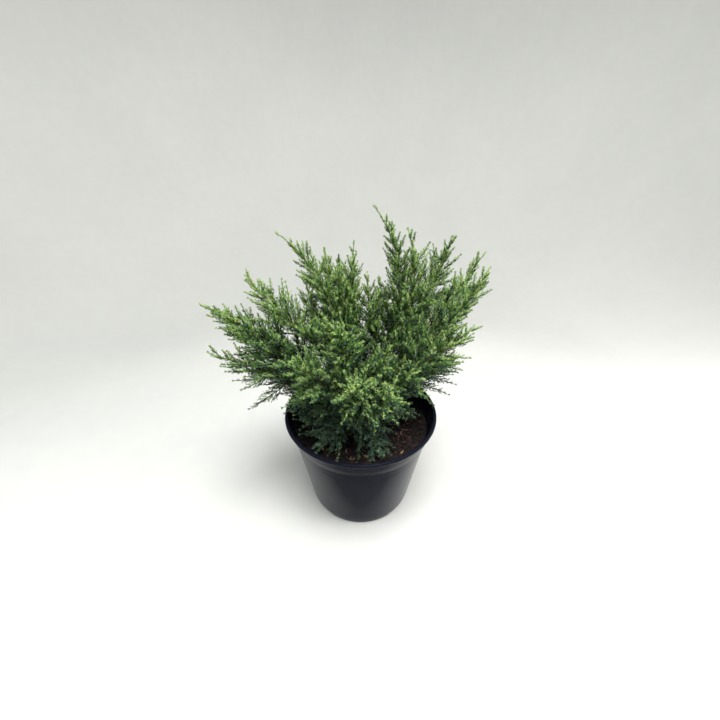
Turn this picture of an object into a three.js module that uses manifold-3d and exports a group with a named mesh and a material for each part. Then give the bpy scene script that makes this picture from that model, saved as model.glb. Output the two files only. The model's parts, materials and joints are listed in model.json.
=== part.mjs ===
// Potted tamariscifolia savin juniper, in millimetres, +Z up.
//
// The origin is the middle of the pot's flat underside, and +Y points to the back of the plant.
// A black nursery pot holds compost. A short stem stands in it and forks into many boughs, and each
// bough ends in a plume: a stem with twigs, where each is a slim green core that short leafy shoots
// stand out of. The plumes are grown by one seeded rule, and each keeps to the space that lies nearest
// to its own axis.

import * as THREE from 'three';
import { mergeVertices } from 'three/addons/utils/BufferGeometryUtils.js';
import Module from 'manifold-3d';

const wasm = await Module();
wasm.setup();

const CLEARANCE = 0.35; // gap between pieces that touch
const DEGREE = Math.PI / 180;
const GOLDEN_ANGLE = 137.5 * DEGREE;
const UP = new THREE.Vector3(0, 0, 1);

// The pot

const POT = {
  height: 164,
  footRadius: 84.5,
  shoulderRadius: 103.7, // the tapered body, just under the band
  bandHeight: 25,
  bandStep: 2.3, // how far the band stands out from the body
  lipRadius: 113,
  lipHeight: 4.5,
  lipStandOut: 3,
  wall: 1.8,
  floor: 6,
  sides: 36,
};
const RECESS = { count: 4, halfAngle: 14 * DEGREE, innerRadius: 62, depth: 4.5, holeRadius: 5, holeAt: 72 };

// The compost

const SOIL = { top: 140, ripple: 1.6, edgeDrop: 3, sides: 36, rings: [76, 48, 20] };

// The stem and the boughs

const STEM = { height: 38, baseRadius: 7.5, topRadius: 5.4, lean: 3, sides: 9, steps: 5 };
const FLARE = { radius: 3.4, height: 9 }; // at the stem's foot
const BOUGH = { rootShare: 0.067, tipShare: 0.038, rise: 1.25, sides: 5, steps: 3 };

// The foliage rule: a plume is a stem with twigs, and both are slim cores with whorls of short shoots

const PLUME = {
  stem: { whorlEvery: 22, coreShare: 0.07, tipRadius: 0.8, shootShare: 0.5, bare: 0.12 },
  twig: { whorlEvery: 19, coreShare: 0.05, tipRadius: 0.7, shootShare: 0.36, bare: 0.28 },
  shootAngle: 45 * DEGREE,
  twigEvery: 28,
  twigAngle: 42 * DEGREE,
  leastTwig: 25,
  leastShoot: 3,
  turns: 5,
  upturn: 0.2,
  clearOfNeighbour: 0.8,
  clearOfLimb: 1.4,
  clearOfPot: 2,
  widthShare: 0.35,
  axisSteps: 20,
};
const WHORL = 3; // shoots in a whorl

// Each plume has the limb that it leaves and how far along that is, the share of its length that is
// bare bough, its width, and the azimuth in degrees, the reach from the pot's axis and the height
// over the compost of its waist and of its tip. Azimuth 0 is +X and 90 is the back.
function plume(name, parent, at, share, width, waist, tip) {
  return { name, parent, at, share, width, waist, tip };
}
const PLUMES = [
  plume('right_leader', 'stem', 0.96, 0.22, 38, [37, 66, 180], [64, 33, 289]),
  plume('left_leader', 'stem', 0.9, 0.22, 34, [148, 48, 180], [168, 101, 261]),
  plume('front_leader', 'stem', 0.82, 0.22, 48, [-104, 58, 130], [-107, 104, 198]),
  plume('right_outer', 'stem', 0.66, 0.26, 41, [-8, 97, 147], [-8, 142, 229]),
  plume('left_far', 'stem', 0.7, 0.26, 54, [-175, 106, 127], [-174, 183, 184]),
  plume('back_right', 'stem', 0.74, 0.26, 48, [70, 76, 112], [74, 110, 190]),
  plume('back_left', 'stem', 0.62, 0.26, 51, [112, 63, 143], [112, 84, 223]),
  plume('right_spire', 'right_leader', 0.15, 0.18, 44, [25, 75, 178], [35, 70, 265]),
  plume('right_fan', 'right_leader', 0.1, 0.18, 52, [29, 98, 165], [22, 124, 255]),
  plume('right_inner', 'right_leader', 0.19, 0.18, 48, [66, 40, 136], [79, 43, 213]),
  plume('right_far', 'right_outer', 0.2, 0.2, 48, [6, 97, 155], [5, 147, 241]),
  plume('right_low', 'right_outer', 0.14, 0.2, 48, [-19, 85, 113], [-16, 135, 168]),
  plume('right_skirt', 'stem', 0.4, 0.22, 42, [6, 84, 78], [2, 134, 96]),
  plume('right_front', 'stem', 0.5, 0.22, 41, [-45, 50, 78], [-38, 88, 118]),
  plume('right_heart', 'stem', 0.86, 0, 50, [4, 59, 94], [0, 129, 136]),
  plume('right_sprig', 'stem', 0.42, 0, 27, [-22, 50, 36], [-12, 88, 20]),
  plume('left_spire', 'left_leader', 0.15, 0.18, 36, [108, 40, 168], [100, 51, 249]),
  plume('left_crest', 'left_leader', 0.19, 0.18, 46, [135, 50, 173], [139, 61, 241]),
  plume('left_upper', 'left_leader', 0.1, 0.18, 50, [177, 83, 147], [179, 138, 217]),
  plume('left_lower', 'left_far', 0.15, 0.2, 52, [-166, 99, 90], [-169, 190, 134]),
  plume('left_skirt', 'stem', 0.34, 0.22, 44, [172, 96, 56], [175, 165, 76]),
  plume('left_heart', 'stem', 0.88, 0, 56, [-164, 94, 115], [-165, 161, 166]),
  plume('left_sprig', 'stem', 0.3, 0, 44, [-156, 58, 46], [-160, 102, 54]),
  plume('front_left', 'front_leader', 0.12, 0.18, 52, [-128, 66, 100], [-126, 114, 158]),
  plume('front_centre', 'stem', 0.54, 0.2, 43, [-95, 64, 92], [-94, 112, 135]),
  plume('front_right', 'stem', 0.44, 0.2, 37, [-71, 61, 75], [-70, 98, 114]),
  plume('front_heart', 'stem', 0.84, 0, 50, [-71, 40, 86], [-64, 73, 157]),
  plume('front_low', 'stem', 0.24, 0, 44, [-76, 52, 26], [-76, 94, 18]),
  plume('front_low_left', 'stem', 0.26, 0, 52, [-122, 52, 27], [-126, 93, 22]),
  plume('back_low', 'stem', 0.5, 0.2, 51, [96, 74, 62], [96, 136, 100]),
  plume('back_right_low', 'back_right', 0.14, 0.2, 51, [35, 90, 88], [32, 148, 128]),
  plume('back_left_low', 'back_left', 0.14, 0.2, 50, [140, 77, 117], [137, 108, 202]),
];

// Colours read from the photograph

const FINISH = {
  pot: new THREE.MeshStandardMaterial({ color: 0x24272c, roughness: 0.42, metalness: 0 }),
  soil: new THREE.MeshStandardMaterial({ color: 0x24150f, roughness: 0.98, metalness: 0 }),
  bark: new THREE.MeshStandardMaterial({ color: 0x5d4433, roughness: 0.9, metalness: 0 }),
  foliage: new THREE.MeshStandardMaterial({ color: 0x4f7f3c, roughness: 0.62, metalness: 0 }),
};

// Solids

// A closed geometry as a solid, with the triangles that have no area left out.
function solidOf(geometry) {
  const loose = geometry.index ? geometry.toNonIndexed() : geometry;
  const bare = new THREE.BufferGeometry().setAttribute('position', loose.getAttribute('position'));
  const merged = mergeVertices(bare, 1e-4);
  const corners = merged.index.array;
  const kept = [];
  for (let i = 0; i < corners.length; i += 3) {
    const [a, b, c] = [corners[i], corners[i + 1], corners[i + 2]];
    if (a !== b && b !== c && c !== a) kept.push(a, b, c);
  }
  return new wasm.Manifold(
    new wasm.Mesh({
      numProp: 3,
      vertProperties: merged.attributes.position.array,
      triVerts: new Uint32Array(kept),
    }),
  );
}

function meshOf(solid, name, material) {
  const { vertProperties, triVerts } = solid.getMesh();
  const geometry = new THREE.BufferGeometry();
  geometry.setAttribute('position', new THREE.BufferAttribute(new Float32Array(vertProperties), 3));
  geometry.setIndex(new THREE.BufferAttribute(new Uint32Array(triVerts), 1));
  geometry.computeVertexNormals();
  const mesh = new THREE.Mesh(geometry, material);
  mesh.name = name;
  return mesh;
}

// A profile of [radius, height] pairs turned round the Z axis.
function turned(profile, sides) {
  const points = profile.map(([radius, height]) => new THREE.Vector2(radius, height));
  return new THREE.LatheGeometry(points, sides).rotateX(Math.PI / 2);
}

// The largest body of a solid, without the loose scraps.
function largestBody(solid) {
  return solid.decompose().sort((a, b) => b.volume() - a.volume())[0];
}

// Seeded numbers from 0 to 1.
function seeded(seed) {
  let state = seed >>> 0;
  return () => {
    state = (state + 0x6d2b79f5) >>> 0;
    let t = state;
    t = Math.imul(t ^ (t >>> 15), t | 1);
    t ^= t + Math.imul(t ^ (t >>> 7), t | 61);
    return ((t ^ (t >>> 14)) >>> 0) / 4294967296;
  };
}

// Pot and compost

const bandFoot = POT.height - POT.bandHeight;
const bandTopRadius = POT.lipRadius - POT.lipStandOut;

function potInnerRadius(height) {
  const share = Math.min(1, height / bandFoot);
  const body = POT.footRadius + (POT.shoulderRadius - POT.footRadius) * share - POT.wall;
  if (height <= bandFoot) return body;
  const up = (height - bandFoot) / POT.bandHeight;
  const bandInner = POT.shoulderRadius + POT.bandStep - POT.wall;
  return bandInner + (bandTopRadius - POT.wall - bandInner) * up;
}

function makePot() {
  const lipFoot = POT.height - POT.lipHeight;
  const half = POT.wall / 2;
  const profile = [
    [0, 0],
    [POT.footRadius - 1.2, 0],
    [POT.footRadius, 1.2],
    [POT.shoulderRadius, bandFoot],
    [POT.shoulderRadius + POT.bandStep, bandFoot + half],
    [bandTopRadius, lipFoot],
    [POT.lipRadius, lipFoot + 0.6],
    [POT.lipRadius, POT.height - 1],
    [POT.lipRadius - 1, POT.height],
    [bandTopRadius - POT.wall + 1, POT.height],
    [bandTopRadius - POT.wall, POT.height - 1],
    [POT.shoulderRadius + POT.bandStep - POT.wall, bandFoot],
    [POT.shoulderRadius - POT.wall, bandFoot - half],
    [potInnerRadius(POT.floor), POT.floor],
    [0, POT.floor],
  ];
  let pot = solidOf(turned(profile, POT.sides));
  for (let i = 0; i < RECESS.count; i++) {
    const middle = (i + 0.5) * ((2 * Math.PI) / RECESS.count);
    const sector = new THREE.Shape();
    sector.absarc(0, 0, POT.footRadius + 10, middle - RECESS.halfAngle, middle + RECESS.halfAngle);
    sector.absarc(0, 0, RECESS.innerRadius, middle + RECESS.halfAngle, middle - RECESS.halfAngle, true);
    const cut = { depth: RECESS.depth + 1, bevelEnabled: false, curveSegments: 3 };
    const recess = new THREE.ExtrudeGeometry(sector, cut).translate(0, 0, -1);
    const [x, y] = [RECESS.holeAt * Math.cos(middle), RECESS.holeAt * Math.sin(middle)];
    const hole = new THREE.CylinderGeometry(RECESS.holeRadius, RECESS.holeRadius, 3 * POT.floor, 10);
    hole.rotateX(Math.PI / 2).translate(x, y, 0);
    pot = pot.subtract(solidOf(recess)).subtract(solidOf(hole));
  }
  return pot;
}

// How far the compost's surface lies above or below its level: flat round the stem, lower at the wall.
function soilRelief(x, y) {
  const radius = Math.hypot(x, y);
  const edge = potInnerRadius(SOIL.top) - CLEARANCE;
  const level = SOIL.rings.at(-1);
  const away = THREE.MathUtils.smoothstep(radius, level, level * 2);
  const waves = Math.sin(x * 0.11 + 1.3) + Math.sin(y * 0.13 + 0.4) + Math.sin((x - y) * 0.07);
  return away * (waves * SOIL.ripple * 0.5 - SOIL.edgeDrop * (radius / edge) ** 4);
}

function makeSoil() {
  const foot = POT.floor + CLEARANCE;
  const profile = [
    [0, foot],
    [potInnerRadius(foot) - CLEARANCE, foot],
    [potInnerRadius(bandFoot - POT.wall) - CLEARANCE, bandFoot - POT.wall],
    [potInnerRadius(bandFoot - POT.wall) - CLEARANCE, SOIL.top],
  ];
  SOIL.rings.forEach((radius) => profile.push([radius, SOIL.top]));
  profile.push([0, SOIL.top]);
  const geometry = turned(profile, SOIL.sides);
  const position = geometry.getAttribute('position');
  for (let i = 0; i < position.count; i++) {
    if (position.getZ(i) < SOIL.top - 0.5) continue;
    position.setZ(i, SOIL.top + soilRelief(position.getX(i), position.getY(i)));
  }
  return solidOf(geometry);
}

// Limbs

// A point from its azimuth in degrees, its reach and its height over the compost.
function place([azimuth, reach, height]) {
  return new THREE.Vector3(reach * Math.cos(azimuth * DEGREE), reach * Math.sin(azimuth * DEGREE), height);
}

// A curve in one plane, with a side vector square to that plane.
function arc(root, pull, tip) {
  const curve = new THREE.QuadraticBezierCurve3(root, pull, tip);
  curve.side = new THREE.Vector3().crossVectors(pull.clone().sub(root), tip.clone().sub(pull)).normalize();
  return curve;
}

// The unit vector that stands out from an arc at a turn round it.
function outFrom(curve, along, turn) {
  const face = new THREE.Vector3().crossVectors(curve.getTangent(along), curve.side);
  return face.multiplyScalar(Math.sin(turn)).addScaledVector(curve.side, Math.cos(turn));
}

// Points in a ring round an arc, each one turned on by an equal step.
function ring(curve, along, radius, count, firstTurn) {
  return Array.from({ length: count }, (_, i) => {
    const turn = firstTurn + (i * 2 * Math.PI) / count;
    return curve.getPoint(along).addScaledVector(outFrom(curve, along, turn), radius);
  });
}

function solidOfFaces(points, faces) {
  return new wasm.Manifold(
    new wasm.Mesh({
      numProp: 3,
      vertProperties: new Float32Array(points.flatMap((point) => point.toArray())),
      triVerts: new Uint32Array(faces.flat()),
    }),
  );
}

// A closed tapering limb along an arc, where radiusAt gives its radius from 0 to 1 along it.
function limb(curve, radiusAt, sides, steps, to) {
  const points = [curve.getPoint(0), curve.getPoint(to)];
  const faces = [];
  for (let i = 0; i <= steps; i++) {
    points.push(...ring(curve, (to * i) / steps, radiusAt(i / steps), sides, 0));
  }
  for (let side = 0; side < sides; side++) {
    const next = (side + 1) % sides;
    for (let i = 0; i < steps; i++) {
      const low = 2 + i * sides;
      const high = low + sides;
      faces.push([low + side, low + next, high + side], [low + next, high + next, high + side]);
    }
    const top = 2 + steps * sides;
    faces.push([0, 2 + next, 2 + side], [1, top + side, top + next]);
  }
  return solidOfFaces(points, faces);
}

const stemCurve = arc(
  new THREE.Vector3(0, 0, -4),
  new THREE.Vector3(-STEM.lean, STEM.lean, STEM.height * 0.5),
  new THREE.Vector3(0, STEM.lean, STEM.height),
);

// The stem, grown by extra all round and cut flat at the ground.
function stemSolid(extra) {
  const straight = (along) => STEM.baseRadius + (STEM.topRadius - STEM.baseRadius) * along;
  const flare = (along) => FLARE.radius * Math.exp((-along * STEM.height) / FLARE.height);
  const radius = (along) => straight(along) + flare(along) + extra;
  const ground = new THREE.BoxGeometry(60, 60, 30).translate(0, 0, -15);
  return limb(stemCurve, radius, STEM.sides, STEM.steps, 1).subtract(solidOf(ground));
}

// Each plume gets its curve: from the axis of the limb it leaves, through its waist, to its tip.
const byName = new Map();
for (const p of PLUMES) {
  const root = p.parent === 'stem' ? stemCurve.getPoint(p.at) : byName.get(p.parent).curve.getPoint(p.at);
  const tip = place(p.tip);
  const pull = place(p.waist).multiplyScalar(2).addScaledVector(root, -0.5).addScaledVector(tip, -0.5);
  p.curve = arc(root, pull, tip);
  p.axis = p.curve.getPoints(PLUME.axisSteps);
  p.length = p.curve.getLength();
  p.boughSteps = Math.ceil(PLUME.axisSteps * p.share);
  byName.set(p.name, p);
}

// A bough from the stem is thicker than one from another bough.
function boughRadius(p, along) {
  const grown = p.parent === 'stem' ? BOUGH.rise : 1;
  return p.width * (BOUGH.rootShare * grown + (BOUGH.tipShare - BOUGH.rootShare * grown) * along);
}

function boughSolid(p, extra) {
  return limb(p.curve, (along) => boughRadius(p, along) + extra, BOUGH.sides, BOUGH.steps, p.share);
}

// Space

const nearest = new THREE.Vector3();
const line = new THREE.Line3();

function distanceToAxis(point, axis, steps = axis.length - 1) {
  let least = Infinity;
  for (let i = 0; i < steps; i++) {
    line.set(axis[i], axis[i + 1]).closestPointToPoint(point, true, nearest);
    least = Math.min(least, nearest.distanceTo(point));
  }
  return least;
}

const stemAxis = stemCurve.getPoints(4);

// How far inside a plume's own space a point lies, or less than 0 outside it. That space is nearer to
// the plume's axis than to any other, clear of the stem and every bough, and clear of pot and compost.
function room(point, p) {
  const radius = Math.hypot(point.x, point.y);
  const height = point.z + SOIL.top;
  let least = point.z - PLUME.clearOfPot;
  const toWall = potInnerRadius(height) - PLUME.clearOfPot - radius;
  if (height < POT.height + PLUME.clearOfPot) least = Math.min(least, toWall);
  least = Math.min(least, distanceToAxis(point, stemAxis) - STEM.baseRadius - PLUME.clearOfLimb);
  const own = distanceToAxis(point, p.axis) - p.width * PLUME.widthShare;
  for (const other of PLUMES) {
    if (other !== p) {
      const theirs = distanceToAxis(point, other.axis) - other.width * PLUME.widthShare;
      least = Math.min(least, (theirs - own) / 2 - PLUME.clearOfNeighbour);
    }
    if (least < 0) return least;
    if (!other.share) continue;
    const toBough = distanceToAxis(point, other.axis, other.boughSteps);
    least = Math.min(least, toBough - boughRadius(other, 0) - PLUME.clearOfLimb);
  }
  return least;
}

// Foliage

// A feathered core from one place on an arc to its end: bare at first, then whorls of short shoots that
// point forward, each whorl turned to stand between the shoots of the one before, and a sharp tip.
// coreAt and shootAt give the core's radius and the shoots' reach from 0 to 1 along it.
function feathered(curve, p, { from, bare, whorls, coreAt, shootAt, firstTurn }) {
  const onArc = (along) => from + (1 - from) * along;
  const half = Math.PI / WHORL;
  const lowRing = (along, turn) => ring(curve, onArc(along), coreAt(along), WHORL, turn);
  const points = [...lowRing(0, firstTurn), ...lowRing(bare, firstTurn)];
  const faces = [[0, 2, 1]];
  for (let j = 0; j < WHORL; j++) {
    const next = (j + 1) % WHORL;
    faces.push([j, next, WHORL + j], [next, WHORL + next, WHORL + j]);
  }
  for (let k = 0; k < whorls; k++) {
    const low = WHORL + k * 3 * WHORL;
    const [valley, tip, high] = [low + WHORL, low + 2 * WHORL, low + 3 * WHORL];
    const middle = bare + ((1 - bare) * (k + 0.5)) / (whorls + 0.5);
    const end = bare + ((1 - bare) * (k + 1)) / (whorls + 0.5);
    const turn = firstTurn + k * half;
    points.push(...lowRing(middle, turn));
    const root = curve.getPoint(onArc(middle));
    const way = curve.getTangent(onArc(middle));
    for (let j = 0; j < WHORL; j++) {
      const out = outFrom(curve, onArc(middle), turn + half * (2 * j + 1));
      const shootWay = turnedTowards(way, out, PLUME.shootAngle).addScaledVector(UP, PLUME.upturn);
      points.push(shootEnd(root, shootWay.normalize(), coreAt(middle), shootAt(middle), p));
    }
    points.push(...lowRing(end, turn + half));
    for (let j = 0; j < WHORL; j++) {
      const next = (j + 1) % WHORL;
      faces.push([low + j, low + next, tip + j], [low + j, tip + j, valley + j]);
      faces.push([low + next, valley + next, tip + j], [valley + j, tip + j, high + j]);
      faces.push([tip + j, valley + next, high + j], [high + j, valley + next, high + next]);
    }
  }
  const last = points.length - WHORL;
  points.push(curve.getPoint(1));
  for (let j = 0; j < WHORL; j++) faces.push([last + j, last + ((j + 1) % WHORL), last + WHORL]);
  return solidOfFaces(points, faces);
}

// Where a short shoot ends: as far out as wanted, or where the plume's space ends.
function shootEnd(root, way, core, wanted, p) {
  const end = new THREE.Vector3();
  for (let reach = wanted; reach > core + PLUME.leastShoot; reach *= 0.8) {
    const at = (share) => end.copy(root).addScaledVector(way, core + reach * share);
    if ([0.6, 1].every((share) => room(at(share), p) > 0)) return end;
  }
  return end.copy(root).addScaledVector(way, core * 1.8);
}

function turnedTowards(way, side, angle) {
  return way.clone().multiplyScalar(Math.cos(angle)).addScaledVector(side, Math.sin(angle)).normalize();
}

// How far the twigs reach from 0 where the plume begins to 1 at its tip, as a share of its width.
function envelope(along) {
  return along < 0.2 ? 0.75 + 1.25 * along : Math.max(0.27, 1 - ((along - 0.2) / 0.8) ** 1.8);
}

// The longest twig up to wanted that leaves its root along way and keeps to the plume's space.
function longestTwig(root, way, wanted, p) {
  const along = new THREE.Vector3();
  for (let length = wanted; length > PLUME.leastTwig; length *= 0.88) {
    const fits = [0.4, 0.7, 1].every(
      (share) => room(along.copy(root).addScaledVector(way, length * share), p) > PLUME.clearOfNeighbour,
    );
    if (fits) return length;
  }
  return 0;
}

function makePlume(p, index) {
  const random = seeded(1 + index * 977);
  const from = p.share ? p.share + (CLEARANCE + 0.1) / p.length : 0;
  const stemLength = p.length * (1 - from);
  const { stem, twig } = PLUME;
  const stemRadius = (along) => {
    const taper = stem.tipRadius + (p.width * stem.coreShare - stem.tipRadius) * (1 - along);
    const clear = room(p.curve.getPoint(from + (1 - from) * along), p);
    return Math.max(stem.tipRadius, Math.min(taper, clear));
  };
  const pieces = [
    feathered(p.curve, p, {
      from,
      bare: p.share ? 0 : stem.bare,
      whorls: Math.round(stemLength / stem.whorlEvery),
      coreAt: stemRadius,
      shootAt: (along) => p.width * stem.shootShare * envelope(along),
      firstTurn: random() * 2 * Math.PI,
    }),
  ];
  const twigs = Math.round(stemLength / PLUME.twigEvery);
  for (let i = 0; i < twigs; i++) {
    const along = (i + 0.25 + 0.5 * random()) / twigs;
    const wanted = p.width * envelope(along) * (1 + 0.3 * random());
    const firstTurn = i * GOLDEN_ANGLE + random() * 0.8;
    const share = from + (0.9 - from) * along;
    const root = p.curve.getPoint(share);
    let best = { length: 0 };
    for (let k = 0; k < PLUME.turns && best.length < wanted * 0.85; k++) {
      const out = outFrom(p.curve, share, firstTurn + (k * 2 * Math.PI) / PLUME.turns);
      const way = turnedTowards(p.curve.getTangent(share), out, PLUME.twigAngle);
      const length = longestTwig(root, way.addScaledVector(UP, PLUME.upturn).normalize(), wanted, p);
      if (length > best.length) best = { length, way };
    }
    const { length, way } = best;
    if (!length) continue;
    const bend = new THREE.Vector3(0, 0, length * 0.04);
    const pull = root.clone().addScaledVector(way, length / 2).sub(bend);
    const twigRadius = (at) => twig.tipRadius + (length * twig.coreShare - twig.tipRadius) * (1 - at);
    pieces.push(
      feathered(arc(root, pull, root.clone().addScaledVector(way, length)), p, {
        from: 0,
        bare: twig.bare,
        whorls: Math.max(2, Math.round((length * (1 - twig.bare)) / twig.whorlEvery)),
        coreAt: twigRadius,
        shootAt: (at) => length * twig.shootShare * (1 - 0.5 * at),
        firstTurn: random() * 2 * Math.PI,
      }),
    );
  }
  return largestBody(wasm.Manifold.union(pieces).subtract(taken));
}

// The whole plant in its pot

const pottedJuniper = new THREE.Group();
pottedJuniper.add(meshOf(makePot(), 'pot', FINISH.pot));
pottedJuniper.add(meshOf(makeSoil(), 'compost', FINISH.soil));

const shrub = new THREE.Group();
shrub.position.z = SOIL.top + CLEARANCE;
pottedJuniper.add(shrub);

shrub.add(meshOf(stemSolid(0), 'stem', FINISH.bark));
let taken = stemSolid(CLEARANCE);
for (const p of PLUMES.filter((p) => p.share)) {
  shrub.add(meshOf(largestBody(boughSolid(p, 0).subtract(taken)), 'bough_' + p.name, FINISH.bark));
  taken = taken.add(boughSolid(p, CLEARANCE));
}
PLUMES.forEach((p, index) => shrub.add(meshOf(makePlume(p, index), 'plume_' + p.name, FINISH.foliage)));

export default pottedJuniper;
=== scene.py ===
"""Looks of a young spreading juniper in a black nursery pot.

Lengths are in millimetres and turn into metres when a mesh is made. The plant has a frame of its
own, with its origin on the compost at the stem's foot. The limbs and twigs are grown by the same
seeded rule as the plant's solids, and here the rule goes on to finer shoots and to single leaves.
"""

from __future__ import annotations

import json
import logging
import math
import sys
from dataclasses import dataclass, field
from enum import Enum, IntEnum
from typing import Callable, Iterable, Sequence

import bpy
import numpy as np
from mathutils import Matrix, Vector, noise

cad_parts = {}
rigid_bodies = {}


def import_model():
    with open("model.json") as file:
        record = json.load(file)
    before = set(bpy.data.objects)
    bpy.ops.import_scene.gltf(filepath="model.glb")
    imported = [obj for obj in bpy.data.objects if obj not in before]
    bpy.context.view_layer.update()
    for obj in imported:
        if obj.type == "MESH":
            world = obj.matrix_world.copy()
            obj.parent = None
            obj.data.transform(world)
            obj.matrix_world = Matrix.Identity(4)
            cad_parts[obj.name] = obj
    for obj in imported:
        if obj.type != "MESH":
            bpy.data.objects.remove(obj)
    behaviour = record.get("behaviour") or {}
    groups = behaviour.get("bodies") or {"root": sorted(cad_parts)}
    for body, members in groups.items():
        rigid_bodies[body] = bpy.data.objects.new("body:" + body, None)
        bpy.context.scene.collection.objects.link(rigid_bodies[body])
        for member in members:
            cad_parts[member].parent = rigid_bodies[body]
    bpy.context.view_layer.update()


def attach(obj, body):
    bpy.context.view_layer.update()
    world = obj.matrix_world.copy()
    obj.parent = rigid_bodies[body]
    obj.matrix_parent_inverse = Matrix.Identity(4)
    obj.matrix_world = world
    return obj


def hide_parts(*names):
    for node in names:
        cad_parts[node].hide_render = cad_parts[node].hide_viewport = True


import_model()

LOG = logging.getLogger("juniper")
METRE = 0.001  # one millimetre in metres
SHORTEST = 1e-12  # keeps a division by a length of 0 apart
STRAIGHT = 1e-9  # a curve whose cross product is under this has no plane of its own
UP = np.array([0.0, 0.0, 1.0])
SLANT = UP + 0.1  # along no limb
GOLDEN_ANGLE = math.radians(137.5)
FULL_TURN = 2 * math.pi
BODY = "root"
LENGTH_CHORDS = 200  # the chords that a curve's length is added up from
ROOM_ROWS = 3000  # the points that are tested at once, to save memory

Colour = tuple[int, int, int]
Span = tuple[float, float]


class Slot(Enum):
    """The record's material slots."""

    POT = "pot"
    COMPOST = "compost"
    BARK = "bark"
    FOLIAGE = "foliage"


# Vectors and curves


def unit(vectors: np.ndarray) -> np.ndarray:
    """The same directions, each with length 1."""
    size = np.linalg.norm(vectors, axis=-1, keepdims=True)
    return vectors / np.maximum(size, SHORTEST)


def smoothstep(value: np.ndarray, low: float, high: float) -> np.ndarray:
    """A smooth ramp, from 0 where the value is low to 1 where it is high."""
    share = np.clip((value - low) / (high - low), 0, 1)
    return share * share * (3 - 2 * share)


def ranged(limits: Span, draw: np.ndarray | float) -> np.ndarray | float:
    """The first limit, changed by the second times a draw from 0 to 1."""
    return limits[0] + limits[1] * draw


def place(azimuth: float, reach: float, height: float) -> np.ndarray:
    """The point at some degrees round the pot's axis, 90 at the back, at a reach and a height."""
    angle = math.radians(azimuth)
    return np.array([reach * math.cos(angle), reach * math.sin(angle), height])


@dataclass
class Arcs:
    """Many curves, each quadratic and in one plane, with a side vector square to that plane.

    In the methods, which is the curve of each wanted point, and along is its share from 0 to 1.
    """

    root: np.ndarray
    pull: np.ndarray
    tip: np.ndarray
    side: np.ndarray = field(init=False)

    def __post_init__(self) -> None:
        """Works out the side vectors."""
        cross = np.cross(self.pull - self.root, self.tip - self.pull)
        flat = np.linalg.norm(cross, axis=1) < STRAIGHT
        cross[flat] = np.cross(self.tip[flat] - self.root[flat], SLANT)
        self.side = unit(cross)

    def point(self, which: np.ndarray, along: np.ndarray) -> np.ndarray:
        """Points on the curves."""
        u = along[:, None]
        return (1 - u) ** 2 * self.root[which] + u**2 * self.tip[which] + 2 * (1 - u) * u * self.pull[which]

    def tangent(self, which: np.ndarray, along: np.ndarray) -> np.ndarray:
        """Unit vectors along the curves."""
        u = along[:, None]
        return unit((1 - u) * (self.pull - self.root)[which] + u * (self.tip - self.pull)[which])

    def out(self, which: np.ndarray, along: np.ndarray, turn: np.ndarray) -> np.ndarray:
        """Unit vectors that stand out square from the curves, at a turn round them."""
        face = np.cross(self.tangent(which, along), self.side[which])
        return face * np.sin(turn)[:, None] + self.side[which] * np.cos(turn)[:, None]

    def length(self) -> float:
        """The first curve's length."""
        points = samples(self, np.linspace(0, 1, LENGTH_CHORDS + 1))[None]
        return float(np.linalg.norm(np.diff(points, axis=1), axis=2).sum(axis=1)[0])


def one_arc(root: np.ndarray, pull: np.ndarray, tip: np.ndarray) -> Arcs:
    """One curve, as Arcs of length 1."""
    return Arcs(root[None], pull[None], tip[None])


def samples(arc: Arcs, shares: Iterable[float]) -> np.ndarray:
    """Points on a single curve, at shares from 0 to 1."""
    along = np.asarray(list(shares), dtype=float)
    return arc.point(np.zeros(len(along), dtype=int), along)


class Seeded:
    """Seeded numbers from 0 to 1, the same ones that the plant's solids were grown with."""

    STEP = 0x6D2B79F5
    MASK = 0xFFFFFFFF

    def __init__(self, seed: int) -> None:
        """Starts the row of numbers at a seed."""
        self.state = seed & self.MASK

    def __call__(self) -> float:
        """Mixes the bits of the next step.

        Returns:
            The next number.
        """
        self.state = (self.state + self.STEP) & self.MASK
        t = self.state
        t = ((t ^ (t >> 15)) * (t | 1)) & self.MASK
        t ^= (t + (((t ^ (t >> 7)) * (t | 61)) & self.MASK)) & self.MASK
        return (t ^ (t >> 14)) / (self.MASK + 1)


# Meshes


def turns(sides: int) -> np.ndarray:
    """Even turns round a ring."""
    return np.arange(sides) * FULL_TURN / sides


def revolve(radius: np.ndarray, height: np.ndarray, sides: int) -> np.ndarray:
    """Rings of points round the height axis.

    Args:
        radius: the radius of each ring.
        height: the height of each ring, or of each of its points.
        sides: how many points a ring has.

    Returns:
        The points, first by ring and then round it.
    """
    turn, radius = turns(sides), radius[:, None]
    height = np.broadcast_to(height.reshape(len(radius), -1), (len(radius), sides))
    return np.stack([radius * np.cos(turn), radius * np.sin(turn), height], axis=2)


def tube_faces(rings: int, sides: int) -> np.ndarray:
    """The side faces of a tube.

    Args:
        rings: how many rings of points it has.
        sides: how many points are in a ring.

    Returns:
        Rows of four indices, where ring r and side s is the point r * sides + s.
    """
    ring = np.arange(rings - 1)[:, None] * sides
    side = np.arange(sides)[None, :]
    after = (side + 1) % sides
    rows = np.stack([ring + side, ring + after, ring + sides + after, ring + sides + side], axis=2)
    return rows.reshape(-1, 4)


def fan_faces(start: int, sides: int, middle: int, flip: bool) -> np.ndarray:
    """Faces from a ring to one point.

    Args:
        start: the ring's first index.
        sides: how many points are in the ring.
        middle: the index of the one point.
        flip: turns the faces over.

    Returns:
        Rows of three indices.
    """
    side = np.arange(sides)
    after = (side + 1) % sides
    first, second = (after, side) if flip else (side, after)
    return np.stack([start + first, start + second, np.full(sides, middle)], axis=1)


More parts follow.
